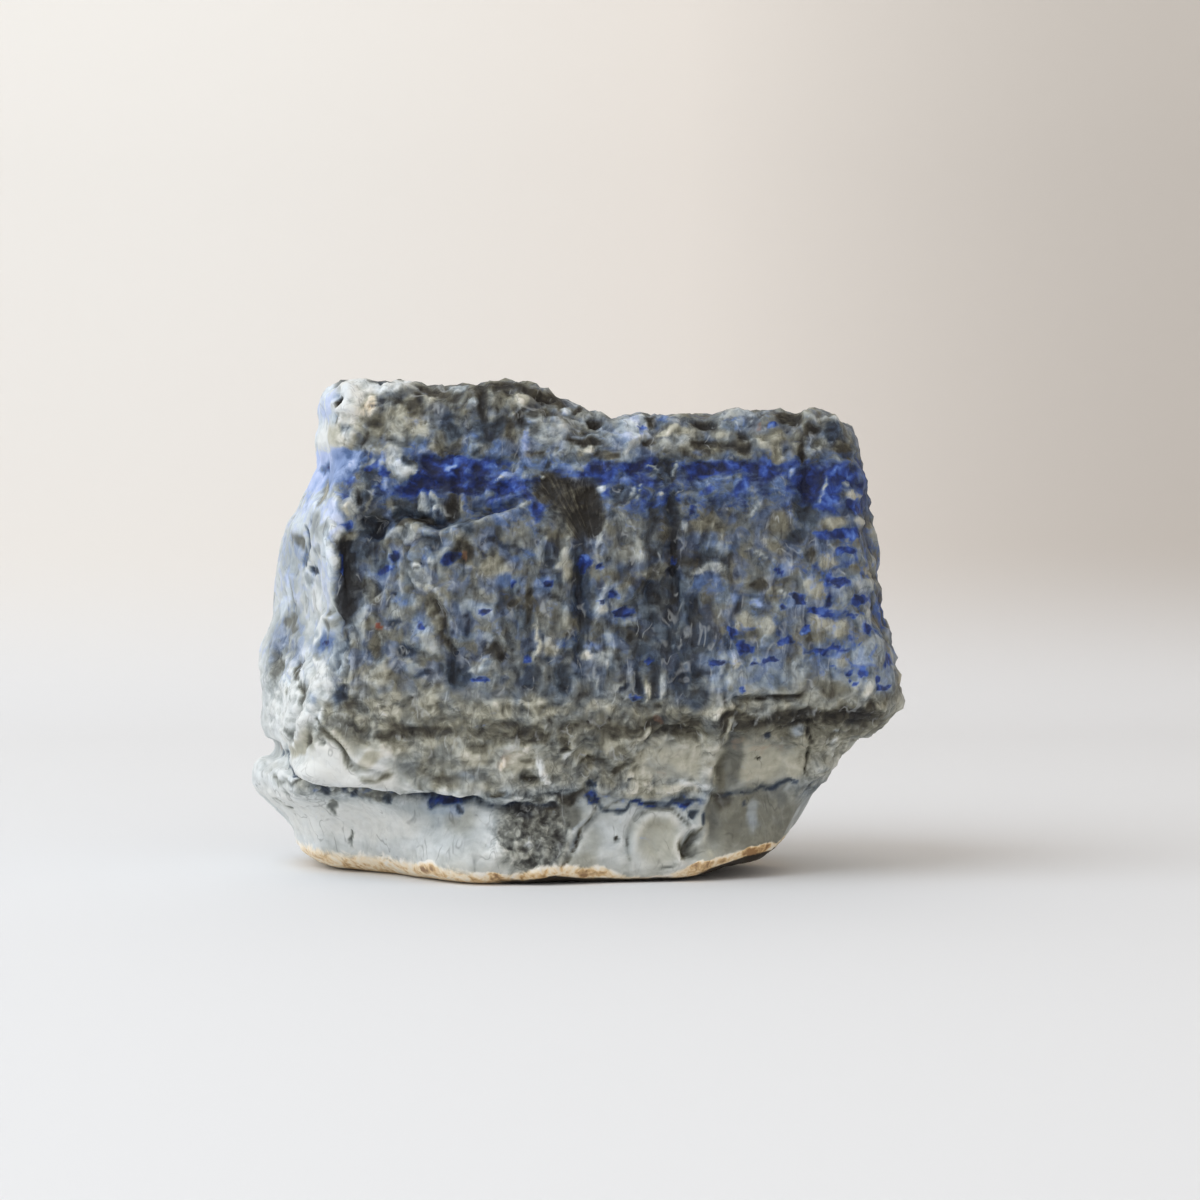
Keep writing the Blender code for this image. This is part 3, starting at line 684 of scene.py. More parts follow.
        (-12, 37.6, 1.6, 1.5), (9, 40.2, 0.6, 0.6)), ("buff", (-12.4, 51.2, 2.8, 1.8),
        (-12, 28.8, 3, 1.6), (-6.4, 30, 1.8, 1.2), (-15.8, 28.4, 1.6, 1.6), (4, 28.6, 2.6, 1),
        (-2, 28.2, 2.6, 1)), ("pale", (-13.6, 40, 1, 0.5), (7, 32.4, 0.4, 1.6, -35),
        (-15.4, 35.2, 1.8, 0.6)), ("ash", (-14.2, 46.4, 2.6, 1.2), (8.6, 54, 2.6, 2.4), (8, 58, 3, 1.8)),
        ("pale", (-16.8, 44.8, 1.2, 1), (4.4, 56.6, 0.4, 1.6, -10)), ("azure", (-10.2, 49.2, 1.7, 1.3),
        (-8.2, 53.4, 1.6, 0.8, 20)), ("royal", (-6.3, 60, 1.1, 1.3), (2.4, 52.8, 0.7, 1.2)),
        ("ash", (-9, 56.6, 2.4, 1.6)), ("navy", (1.8, 51.6, 0.5, 1.4)), ("buff", (-1, 52, 1.6, 2.6)),
        ("umber", (-9.6, 45.4, 0.8, 0.8)), ("cream", (-6, 39.6, 0.4, 3.6, -6)),
        ("buff", (-3.4, 38.8, 2, 1.6)), ("ash", (-3, 43.4, 2.6, 3.4)), ("azure", (-1, 39.3, 2, 1),
        (3, 38.6, 1.4, 1)), ("veil", (6, 39.6, 1, 1.4)), ("pale", (4.6, 36.4, 2, 1.1, 25),
        (4.3, 46, 0.5, 3.2, -8)), ("cream", (2, 36.6, 0.9, 0.8), (5, 44.6, 0.7, 0.7)),
        ("slate", (-6.6, 34, 1.4, 1.6)), ("azure", (8.6, 42.6, 2, 1)), ("dusk", (13, 31.4, 1.9, 1.8)),
        ("cream", (11.8, 31.6, 0.4, 1.6, -10)), ("slate", (13.2, 31.4, 0.6, 1.6), (12.6, 45, 1.4, 4)),
        ("pale", (14.4, 32, 0.5, 2.2, -20))),
    "darkColumn": (
        ("gloom", (16.4, 54, 0.9, 6)), ("slate", (13.6, 38, 1.4, 5), (15.8, 60.8, 0.8, 3),
        (17, 44, 2.4, 5), (19.6, 37.6, 2.4, 4.6)), ("navy", (16.3, 52.6, 0.7, 1.1)),
        ("dusk", (14.4, 43, 3.4, 6.4)), ("pale", (16.6, 39.6, 0.25, 1, 20), (18.2, 58.3, 0.4, 1.1, 20)),
        ("moss", (22.4, 58.2, 2.8, 1.3), (33.2, 59, 1.8, 2)), ("slate", (17.2, 33, 1.2, 2.6),
        (36, 56.4, 1.4, 0.9)), ("azure", (23, 54.2, 3, 1), (22, 48.4, 3.4, 1.6)),
        ("dusk", (20.8, 38.8, 2.2, 4.6), (18.4, 30.2, 3, 1.8), (22.8, 52.8, 2.4, 0.9)),
        ("ash", (22.6, 33.2, 1.6, 1.6), (32, 55.6, 1.4, 1)), ("drab", (13, 51, 1.8, 1.6)),
        ("azure", (25.6, 46.6, 1.8, 1.2)), ("pale", (22, 51, 2.8, 0.7, 8))),
    "right": (
        ("buff", (27.8, 42.5, 2, 1.6, 10), (31.3, 41.6, 1.6, 2.4), (39.2, 48.2, 1.4, 1.6),
        (42.3, 58.6, 2.2, 1.2, -5), (46.6, 58.3, 1.2, 0.8), (43.2, 41.4, 1.8, 1.4), (39.8, 42.2, 2, 1.4)),
        ("pale", (29.6, 53.4, 1.8, 0.25, -14), (46.6, 48.4, 1.8, 1), (46.8, 42.8, 1.8, 1),
        (49, 38.4, 2, 2), (48.6, 43.2, 1.2, 1.2)), ("moss", (33, 54.6, 1.6, 1), (38.2, 39.8, 2.8, 1.4),
        (42.2, 31.6, 2.4, 1.2)), ("olive", (30.4, 48.6, 1.7, 0.9, -5), (38.6, 53.3, 1, 1.1)),
        ("veil", (30.4, 34, 5.2, 2.4), (31.4, 38.8, 1.6, 1.1), (47.6, 36.4, 2.8, 1.6, 20),
        (23.6, 33, 1.8, 2), (25.4, 37, 1.6, 1.3)), ("pale", (33.6, 47.4, 0.25, 1.2, 30),
        (36.6, 34.6, 1.4, 2.6)), ("azure", (33.2, 51.4, 1.8, 1.4, -30), (42.6, 37.6, 5, 0.6, 8),
        (48, 41.4, 3.4, 0.8, -30)), ("cream", (26.6, 36, 1, 0.9), (47.8, 31.6, 0.9, 1.8, -30)),
        ("umber", (29.8, 48.7, 0.7, 0.4, -10)), ("sky", (29.8, 45.8, 0.9, 0.7)),
        ("drab", (36.8, 47.4, 1, 1)), ("buff", (41.5, 52.2, 1.8, 1.3)), ("azure", (45, 53.4, 3, 1.4),
        (35, 45.2, 2, 1)), ("royal", (43, 56.6, 4.4, 0.7)), ("blush", (47.6, 57.4, 0.8, 1.2)),
        ("navy", (42.1, 46.3, 1, 1.1)), ("dusk", (21.6, 35.4, 1.9, 1.9)), ("veil", (50.4, 33.4, 1.8, 2)),
        ("ash", (42.8, 36, 1.8, 0.9)), ("moss", (48.6, 50.2, 1.6, 0.9), (46.4, 50.8, 1.4, 0.7)),
        ("slate", (25.2, 39.4, 1.4, 0.6, -30))),
    "darkBed": (
        ("olive", (-26, 24.8, 7, 1), (7.4, 25, 3.6, 1.4), (12.6, 25.4, 2.4, 1.4), (17.6, 25.4, 3, 1.4)),
        ("moss", (-15.6, 24.6, 3.6, 0.8), (-36.6, 28.4, 1.2, 1.6)), ("cream", (11.6, 24, 1, 0.5, 40),
        (-30, 27.9, 2.6, 1.3)), ("olive", (-7.4, 24.2, 3.8, 1.3), (-1.4, 23, 0.7, 1.5, 15)),
        ("ash", (-3, 24.6, 0.5, 2, -10)), ("rust", (13.8, 26.4, 1, 0.7)), ("umber", (27, 26.4, 4.2, 1.6),
        (36, 26.8, 5, 1.5), (45, 27.2, 4.8, 1.7, 8)), ("pale", (36.8, 24.4, 1.4, 0.8),
        (43, 24.2, 0.4, 0.4)), ("cream", (22.6, 28.3, 1.8, 0.8)), ("ash", (29, 28.4, 3, 0.8)),
        ("buff", (-34, 26.4, 1.6, 1.3))),
    "creamBed": (
        ("snow", (-46.8, 26.4, 2.4, 7), (-48, 19.4, 2.6, 2.4, -20), (-0.6, 21.4, 1.4, 0.6, 50),
        (19, 15.6, 2.2, 0.8)), ("chalk", (-47.8, 22.2, 1.6, 1.8)), ("snow", (-41.4, 18.6, 4.6, 2, -25)),
        ("chalk", (-37.4, 18.6, 5.4, 2.8, -20)), ("snow", (-32.6, 20.4, 3.4, 2, -15)),
        ("cream", (-44.6, 22.2, 0.9, 2.6, -25), (-32.6, 20.8, 2.2, 1.2)),
        ("moss", (-43.1, 23.7, 0.5, 1.6, -25)), ("chalk", (-39.8, 21.4, 2.4, 2.6, 35),
        (-28, 17, 4, 1.6, -16)), ("cream", (-37.8, 23.4, 0.7, 2, 35)), ("ash", (-23.6, 18.8, 5.4, 3.2),
        (-15.6, 18, 2.2, 1.4)), ("cream", (-16.4, 20.9, 2.2, 1.3), (-8.2, 21, 3.2, 1.5)),
        ("moss", (-20.6, 16.4, 2, 1.2), (-7.3, 17.8, 1.4, 1.1, -20), (-15.6, 22.4, 1.4, 0.7)),
        ("olive", (-7.8, 17.4, 0.7, 0.5, -20), (-11.8, 15.6, 1.2, 0.5)),
        ("pale", (-17.4, 17.8, 1.2, 0.6, -40)), ("blush", (-11.6, 20.6, 1.4, 2, 10)),
        ("tan", (-11.7, 19.9, 0.6, 1.2, 10)), ("snow", (-4.5, 18.4, 0.6, 3, 26)),
        ("ash", (3.4, 18.4, 4.6, 2.6), (-12.6, 16.8, 1.4, 1)), ("moss", (8.8, 20.2, 1.6, 1.1),
        (7, 21.4, 1.2, 0.8)), ("olive", (7.8, 18.6, 1.3, 0.5, 35)), ("slate", (2.6, 15.9, 1.2, 0.5)),
        ("buff", (1.8, 21.4, 1.6, 1)), ("olive", (3, 20, 2.4, 0.3, 10)), ("cream", (13, 20.6, 2.8, 1.6),
        (18.6, 20.4, 3.6, 2.6)), ("blush", (14.2, 17.7, 1.2, 0.8, -15)),
        ("cream", (10.8, 17, 2.2, 1.4, 20))),
    "facet": (
        ("flint", (30, 9.4, 9, 6.2)), ("cream", (30.6, 19, 3.4, 3.2), (36.4, 19.4, 2, 3)),
        ("drab", (25.6, 20, 2, 4.8, -8)), ("moss", (24.2, 17, 1, 3, -8)),
        ("cream", (22.5, 20, 1.5, 2.8, -8)), ("blush", (29, 22.4, 4.4, 1.6), (27.4, 18, 2.2, 1.4),
        (35.4, 22, 3.6, 1.4)), ("slate", (31.5, 23.9, 0.8, 0.35)), ("umber", (30, 20.7, 0.3, 0.2)),
        ("olive", (24.4, 12.8, 1.3, 1.9)), ("pale", (29.6, 10.6, 0.9, 2.6, -15)),
        ("slate", (28.4, 12.2, 0.4, 0.5)), ("ash", (34, 13.6, 1, 1.8, 20)),
        ("pale", (35.6, 15, 1, 0.5, 30)), ("drab", (22.8, 11, 1.4, 3)),
        ("snow", (42.6, 22.4, 0.8, 0.5, 20))),
    "foot": (
        ("gold", (-24, 2.2, 2, 0.8), (3, 2, 1.6, 0.6)), ("chalk", (-49, 9.6, 8, 5.4), (-36, 9, 10, 3.6)),
        ("ash", (-39, 14.6, 3, 0.9), (-32, 14.2, 5.4, 1.1), (-40, 11.4, 0.7, 1.4),
        (-36.4, 6.8, 0.2, 1.4)), ("slate", (-37.9, 14.2, 0.6, 0.5), (-36.2, 13.7, 0.5, 0.6),
        (-30.2, 13.5, 0.8, 0.8), (-40.8, 14.3, 0.6, 0.5)), ("pale", (-23.6, 14.3, 3.4, 0.9)),
        ("veil", (-21.2, 13.2, 3.4, 1.8, 8)), ("navy", (-21.2, 13.4, 2.5, 1, 8),
        (-23.4, 13, 0.8, 0.8, -30)), ("slate", (-18.6, 12.6, 0.5, 0.4)),
        ("drab", (-6.8, 8.2, 5.2, 6.4, 14), (-1, 10.8, 2.6, 2.8, 30)), ("gloom", (-7.8, 12, 1.3, 1)),
        ("drab", (-4.4, 12.6, 3, 1.6)), ("umber", (-0.6, 13.8, 1.6, 0.8, 15), (-3.6, 12.4, 1, 0.6),
        (7.2, 7, 0.4, 0.35)), ("pale", (-7.4, 6.1, 0.5, 0.5)), ("ash", (-4.4, 5.6, 2.6, 2.2)),
        ("pale", (0.1, 7.8, 0.5, 3.2, -33)), ("marl", (13.9, 7, 3.5, 4.3, 15)),
        ("navy", (3.2, 13.5, 1.5, 0.9, -38), (11.2, 12.9, 1.9, 0.5, -8), (18.4, 12.7, 2.4, 0.7)),
        ("cream", (13.8, 14.9, 6, 1.1)), ("ash", (15.4, 2.7, 1.4, 0.35, 8)),
        ("olive", (17.6, 5.4, 0.4, 1.9, 8)), ("drab", (19.4, 5.3, 1, 1.7)),
        ("gold", (-12.5, 1.4, 1.4, 0.6), (22.6, 2.6, 3.4, 0.7, 10), (29.4, 4.2, 3.2, 0.8, 14)),
        ("pale", (19.8, 11.8, 1, 0.9)), ("slate", (21, 9.6, 0.3, 1.4, 15), (19.4, 10.8, 0.6, 0.5))),
    "leftFace": (
        ("ash", (-41, 63.3, 1.2, 2.2, -18), (-46.3, 55.2, 0.8, 1.3, 15), (-46.8, 41.6, 0.8, 1.4),
        (-44.4, 30.4, 0.7, 2.2), (-50, 33.8, 0.8, 2.4), (-48.4, 41.6, 0.8, 0.8), (-47.4, 30.1, 0.4, 0.7),
        (-44.6, 30.8, 0.5, 1.2)), ("lilac", (-48.6, 46.6, 0.8, 3.4, -8), (-45.8, 59.4, 1.2, 2.4, -25),
        (-47.4, 32.4, 0.9, 1.4)), ("buff", (-41.1, 63.3, 0.8, 1.6, -18)),
        ("slate", (-43.1, 50.8, 0.4, 0.8, -10)), ("pale", (-43.7, 48.8, 0.7, 0.8), (-41.5, 53.8, 0.7, 1),
        (-41.8, 58, 1.6, 2.2)), ("azure", (-42.2, 30, 0.6, 1.5, -25), (-45, 52.6, 0.6, 2.4)),
        ("snow", (-41, 32.8, 2, 3), (-42.4, 27.4, 1.9, 2.6), (-42, 46, 1.4, 2.4), (-49, 26, 2, 3)),
        ("rust", (-50.3, 20, 0.4, 0.6)), ("veil", (-40.3, 38.8, 2.8, 2)),
        ("azure", (-40.3, 38.8, 1.9, 1.2, 5)), ("royal", (-40.1, 38.8, 0.9, 0.45, 5))),
}

grains = (  # crisp blue grains: (how pale the rim is, then the oval)
    (0.8, -24.8, 42.6, 0.9, 0.6), (0.4, -14.6, 44.2, 1.1, 0.7), (0.3, -15.3, 33.5, 2.1, 0.6),
    (0.2, -7.3, 36.8, 0.9, 0.8), (0, -10, 49, 0.8, 0.7), (0, -4, 48.8, 0.7, 0.7),
    (0.3, 4.7, 51.8, 0.7, 0.8, -20), (0.5, 6.3, 47, 0.9, 0.6, 10), (0.2, 4.4, 46.3, 0.5, 0.4),
    (0.3, 8.4, 44.2, 1.7, 0.8), (0, 12.3, 36.2, 0.8, 0.8), (0, 10, 30.5, 1.4, 0.5),
    (0.8, 22.8, 36.4, 1.6, 0.8), (0.4, 28, 38.2, 1.7, 0.8), (0, 25.6, 41, 1.4, 0.7, -20),
    (0.6, 29.8, 35.8, 1.5, 0.45, -5), (0.6, 32, 36.4, 1.2, 0.4, 12), (0.3, 27, 31.7, 1.1, 0.7),
    (0.3, 34.6, 39.4, 1.5, 0.7, 10), (0.2, 37.5, 41.3, 1, 0.7), (0.3, 36.5, 46, 1.4, 0.7, -35),
    (0.2, 39.6, 44.3, 2, 0.6, -5), (0.2, 42.2, 46.5, 0.5, 1.6), (0.4, 43, 48.8, 2.2, 0.8),
    (0.2, 41.8, 49.9, 0.5, 0.8), (0.5, 46.5, 45.8, 2.2, 0.7), (0.2, 45.2, 43.4, 1.6, 0.6, -20),
    (0.2, 48.4, 41.2, 1.8, 0.5, -30), (0.3, 51.3, 36.3, 0.8, 1.2), (0.5, 42.8, 34.9, 1.8, 0.5, -25),
    (0.3, 44.2, 34.3, 0.8, 0.6), (0.3, 45.4, 32.5, 1, 0.45, -15), (0.5, 47.3, 34.5, 0.6, 0.55),
    (0.5, 49, 33.1, 0.5, 0.9), (0.6, 50.8, 31.7, 1.5, 0.45, -5), (0.2, 44.6, 53.9, 1.8, 0.6, -10),
    (0, 33.2, 50.6, 1, 0.6, -30), (0.1, 42, 37.6, 2.6, 0.35, 6), (0.2, 47.2, 38.6, 0.5, 0.9),
    (0.2, 34.2, 45, 0.8, 0.5), (0, 19, 60.6, 0.8, 0.9), (0, -28.6, 53, 0.7, 0.6, 30),
    (0, -41.2, 67.6, 0.6, 0.5), (0.4, 11.1, 74.3, 0.7, 0.6))

veinsAndPaintedEdges = (  # thin veins along the lines, and painted highlights and shade along the lips: (kind, line, distance to the left of it, half width)
    # the snow line along rolledLip and the pale line along creviceLip are painted highlights on the lips'
    # crests; the slate line under rolledLip is painted shade under the lip
    ("snow", "rolledLip", 0.5, 0.45), ("slate", "rolledLip", -0.45, 0.35),
    ("pale", "creviceLip", -0.3, 0.3), ("ash", "lensGroove", 0, 0.5), ("olive", "baseCrack", 0, 0.22),
    ("slate", "footVein", 0, 0.35), ("ash", "endVein", 0, 0.4), ("umber", "rightCrack", 0, 0.25),
    ("umber", "shelfCrack", 0, 0.25), ("moss", "lipFold", 0.2, 0.3), ("ash", "innerFold", 0, 0.25),
    ("cream", "facetEdge", 0.8, 0.45), ("moss", "roundChip", 0.4, 0.35), ("ash", "shell", 0.3, 0.3),
    ("slate", "facetVein", 0, 0.3), ("ash", "vBranch", 0, 0.2), ("ash", "endLedge", 0, 0.25),
    ("olive", "branch", 0, 0.25), ("slate", "leftGroove", 0, 0.3), ("ash", "leftFork", 0, 0.3),
    ("olive", "leftSlit", 0, 0.25), ("snow", "tent", 0.5, 0.4), ("ash", "tentRight", 0.6, 0.4))


shades = (  # broad places: (how much lighter, how much cooler, then the oval)
    (-0.16, 0.1, 14.5, 44, 6.5, 14), (-0.05, 0.1, -4, 44, 10, 12), (0.08, 0, -21, 46, 10, 11),
    (0.11, 0.3, 4, 73, 11, 4), (0.06, 0, -26, 25, 12, 2.4), (-0.06, 0.3, -2, 32, 11, 5),
    (0.04, 0, -28, 20, 12, 4), (-0.03, -0.1, 42, 25, 10, 2), (-0.05, 0, 3, 19, 7, 4),
    (-0.24, 0, -47.4, 40, 2.6, 4.6), (-0.16, 0, -50.4, 35, 1.6, 5), (-0.13, 0.1, -47.4, 52, 2.4, 6),
    (-0.32, 0, -41.8, 63, 2.6, 3.4), (-0.16, 0, -43.6, 30, 1.6, 3), (-0.08, 0, -22, 11, 8, 1.8),
    (-0.1, -0.2, 2.6, 6.6, 1.8, 2.6), (-0.1, -0.1, 3.6, 11, 1.8, 1.2), (0.11, 0.3, -35.2, 58.3, 2, 2.2),
    (0.11, 0.3, -31, 52, 2.6, 2.6), (-0.1, 0, 42.9, 36, 2.6, 2.6), (-0.1, 0, 21.1, 37.7, 2.2, 1.8),
    (0.14, -0.1, 22.5, 19.9, 2.4, 1.8), (0.1, 0, -43.8, 15.4, 2.6, 2.2),
    (0.14, -0.1, -25.2, 15, 2.6, 1.8), (-0.14, -0.3, -18.2, 10.4, 2.4, 2.2), (0.12, 0, -47.6, 22, 2.8, 2),
    (-0.14, -0.4, 31.9, 6, 3.4, 1.8), (-0.14, -0.3, 22.6, 5.2, 3, 1.8), (-0.16, -0.2, 0.2, 3.4, 3.6, 1.6),
    (-0.12, -0.2, -6.1, 1.4, 2.6, 1.2))


speckled = (  # places with dark and light specks: (strength, softness, then the oval)
    (1, 0.2, -5.4, 8.8, 7.6, 6.8, 20), (0.8, 0.4, -32, 14, 14, 1.6), (0.7, 0.4, -47.6, 31, 5, 8),
    (0.5, 0.4, -48, 13, 7, 2.4), (0.4, 0.4, -36.6, 50, 3, 8), (0.3, 0.4, 29, 9.5, 8, 4.6),
    (0.5, 0.4, -41, 37, 2.4, 4))
netted = ((1, 0.35, 45, 45, 11, 14), (0.8, 0.4, 29, 38, 8, 6))  # places with a net of blue seams


def mineralShares(points, leftward, shown, under):  # the shares, and how far the patches stand out
    across, outward, up = points[:, 0], -points[:, 1], points[:, 2]
    heights = bedHeights(points)
    shares = {name: profile(heights, pairs) for name, pairs in bands.items()}
    shares["rust"] = np.zeros(len(points))
    shares["tuft"] = np.zeros(len(points))
    shares["speckle"] = spots(across, up, speckled)
    shares["web"] = spots(across, up, netted)
    shares["lightness"] += 0.03 * shares["web"]
    shares["blueTone"] = 0.32 + 0.30 * cloud(stir(points, 8.0, 3.0, 250), (7.0, 7.0, 4.0), 254, 2)
    shares["blueTone"] -= 0.10 * ease(across, 2.0, 10.0) * ease(up, 50.0, 60.0)
    # faces turned to the left are pulled paler and cooler: partly the pale skin of that end, partly painted
    # light where the key lamp falls from the left
    shares["lightness"] += (0.93 - shares["lightness"]) * 0.85 * leftward
    shares["coolness"] += (0.7 - shares["coolness"]) * 0.8 * leftward
    shares["lazurite"] *= 1.0 - 1.2 * leftward
    for lighter, cooler, *oval in shades:
        inside = spot(across, up, oval, 0.5)
        shares["lightness"] += lighter * inside
        shares["coolness"] += cooler * inside
    richer = 0.10 * ease(-across, 6.0, 14.0) * ease(heights, 61.0, 64.0)
    shares["lazurite"] += richer * (1.0 - ease(heights, 68.0, 70.0))
    # painted shade: the underside and a strip along the foot's lower edge are painted near black where
    # shade falls between stone and floor
    edge = profile(across, footShadeTop) * ease(outward, -5.0, 5.0)
    below = under * (0.3 + 0.7 * ease(across, -16.0, -6.0)) * (1.0 - 0.6 * ease(-outward, -20.0, -8.0))
    shadeFreeEdge = 0.7 * ease(up, 0.3, 0.9) * ease(across, -4.0, 2.0)
    below *= 1.0 - shadeFreeEdge * (1.0 - ease(across, 19.0, 23.0))
    shares["footShade"] = np.maximum(below, 1.0 - ease(up, edge - 0.5, edge + 0.3))
    crust, soft = profile(across, crustTop), profile(across, crustFade)
    shares["ochre"] = 1.0 - ease(up, crust - 1.6 * soft, crust + soft)
    plain = shares["lightness"].copy()
    mottle = cloud(stir(points, 5.0, 2.5, 240), (4.6, 4.6, 5.5), 244, 2)
    shares["lightness"] += 0.13 * mottle * (1.0 - 0.5 * leftward)
    stirred = stir(stir(points, 4.0, 1.0, 230), 1.5, 0.4, 236)
    x, z = stirred[:, 0], stirred[:, 2]
    for group in patches.values():
        for kind, *ovals in group:
            for oval in ovals:
                blendIn(shares, kind, spot(x, z, oval, 0.4) * shown)
    broken = ease(cloud(points, 2.6, 260, 2), -0.35, 0.25)
    for kind, name, place, half in veinsAndPaintedEdges:
        distance, share, side = lineDistance(x, z, rounded(lines[name]))
        strength = endsOf(share, 0.04, 0.04) * shown * (0.15 + 0.85 * broken)
        blendIn(shares, kind, np.exp(-((side * distance - place) / half) ** 2) * strength)
    raised = np.clip(shares["lightness"] - plain, -0.5, 0.5)
    torn = stir(stir(points, 2.4, 0.8, 270), 1.1, 0.5, 274)
    x, z = torn[:, 0], torn[:, 2]
    for rim, *oval in grains:
        inside = spot(x, z, oval, 0.45) * shown
        oval[2:4] = [half * 1.5 + 0.4 for half in oval[2:4]]
        blendIn(shares, "veil", spot(x, z, oval, 0.5) * shown * rim)
        shares["blueTone"] += (0.30 - shares["blueTone"]) * inside ** 2
        shares["lazurite"] = np.maximum(shares["lazurite"], 0.88 * inside)
    return shares, raised


def blendIn(shares, kind, inside):
    for name, value in kinds[kind].items():
        shares[name] += (value - shares[name]) * inside


def storeShare(mesh, name, values):
    layer = mesh.attributes.new(name, "FLOAT", "POINT")
    layer.data.foreach_set("value", values.astype(np.float32))


finish = {
    "warmStone": ((0, (32, 29, 24)), (0.25, (72, 69, 59)), (0.5, (122, 121, 107)), (0.75, (178, 177, 162)),
                  (1, (226, 223, 213))),
    "coolStone": ((0, (28, 33, 42)), (0.25, (60, 71, 84)), (0.5, (108, 121, 134)), (0.75, (164, 176, 186)),
                  (1, (220, 229, 236))),
    "hazyStone": ((0, (22, 34, 58)), (0.25, (44, 66, 106)), (0.5, (82, 110, 160)), (0.75, (142, 164, 210)),
                  (1, (202, 213, 248))),
    "blue": ((0, (10, 17, 50)), (0.2, (17, 33, 88)), (0.45, (38, 66, 146)), (0.7, (82, 116, 192)),
             (1, (160, 186, 234))),
    "crust": ((0, (150, 108, 60)), (0.3, (226, 190, 136)), (0.55, (250, 231, 198)), (1, (252, 247, 238))),
    # near-black painted shade under the foot
    "footShade": (22, 16, 12),
    "rust": (138, 96, 66),
    "red": (132, 62, 44),
    "wisp": (206, 211, 212),
    "hairline": (32, 33, 36),
    "tuftRoot": (4.5, 51.0),  # the tuft's needles spread from here
    "roughness": 0.6,
    "shine": 0.32,
    "bump": (0.8, 0.45),      # strength, and depth in mm
    "sizes": {  # of each pattern, in mm
        "mottle": 3.2, "uprightMottle": 2.9, "speck": 1.2, "grain": 0.45, "speckle": 1.3, "tint": 3.4,
        "wisp": 4.2, "hairline": 5.0, "etching": 2.6, "fleck": 2.4, "uprightFleck": 2.2, "net": 4.2,
        "haze": 3.0, "blueTone": 1.8},
    "swings": {  # how strongly each pattern shows
        "mottle": 0.85, "speck": 0.28, "grain": 0.06, "speckle": 1.2, "tint": 2.3, "hollow": 0.12,
        "fleck": 1.3, "net": 0.42, "blueTone": 1.6},
    "cover": {  # how fully each colour covers what is under it
        "wisp": 0.34, "hairline": 0.36, "haze": 0.85, "blue": 0.92, "crust": 0.85, "footShade": 0.97,
        "rust": 0.45, "red": 0.75},
}


def linear(colour):
    shares = [channel / 255.0 for channel in colour]
    return tuple(s / 12.92 if s <= 0.04045 else ((s + 0.055) / 1.055) ** 2.4 for s in shares) + (1.0,)


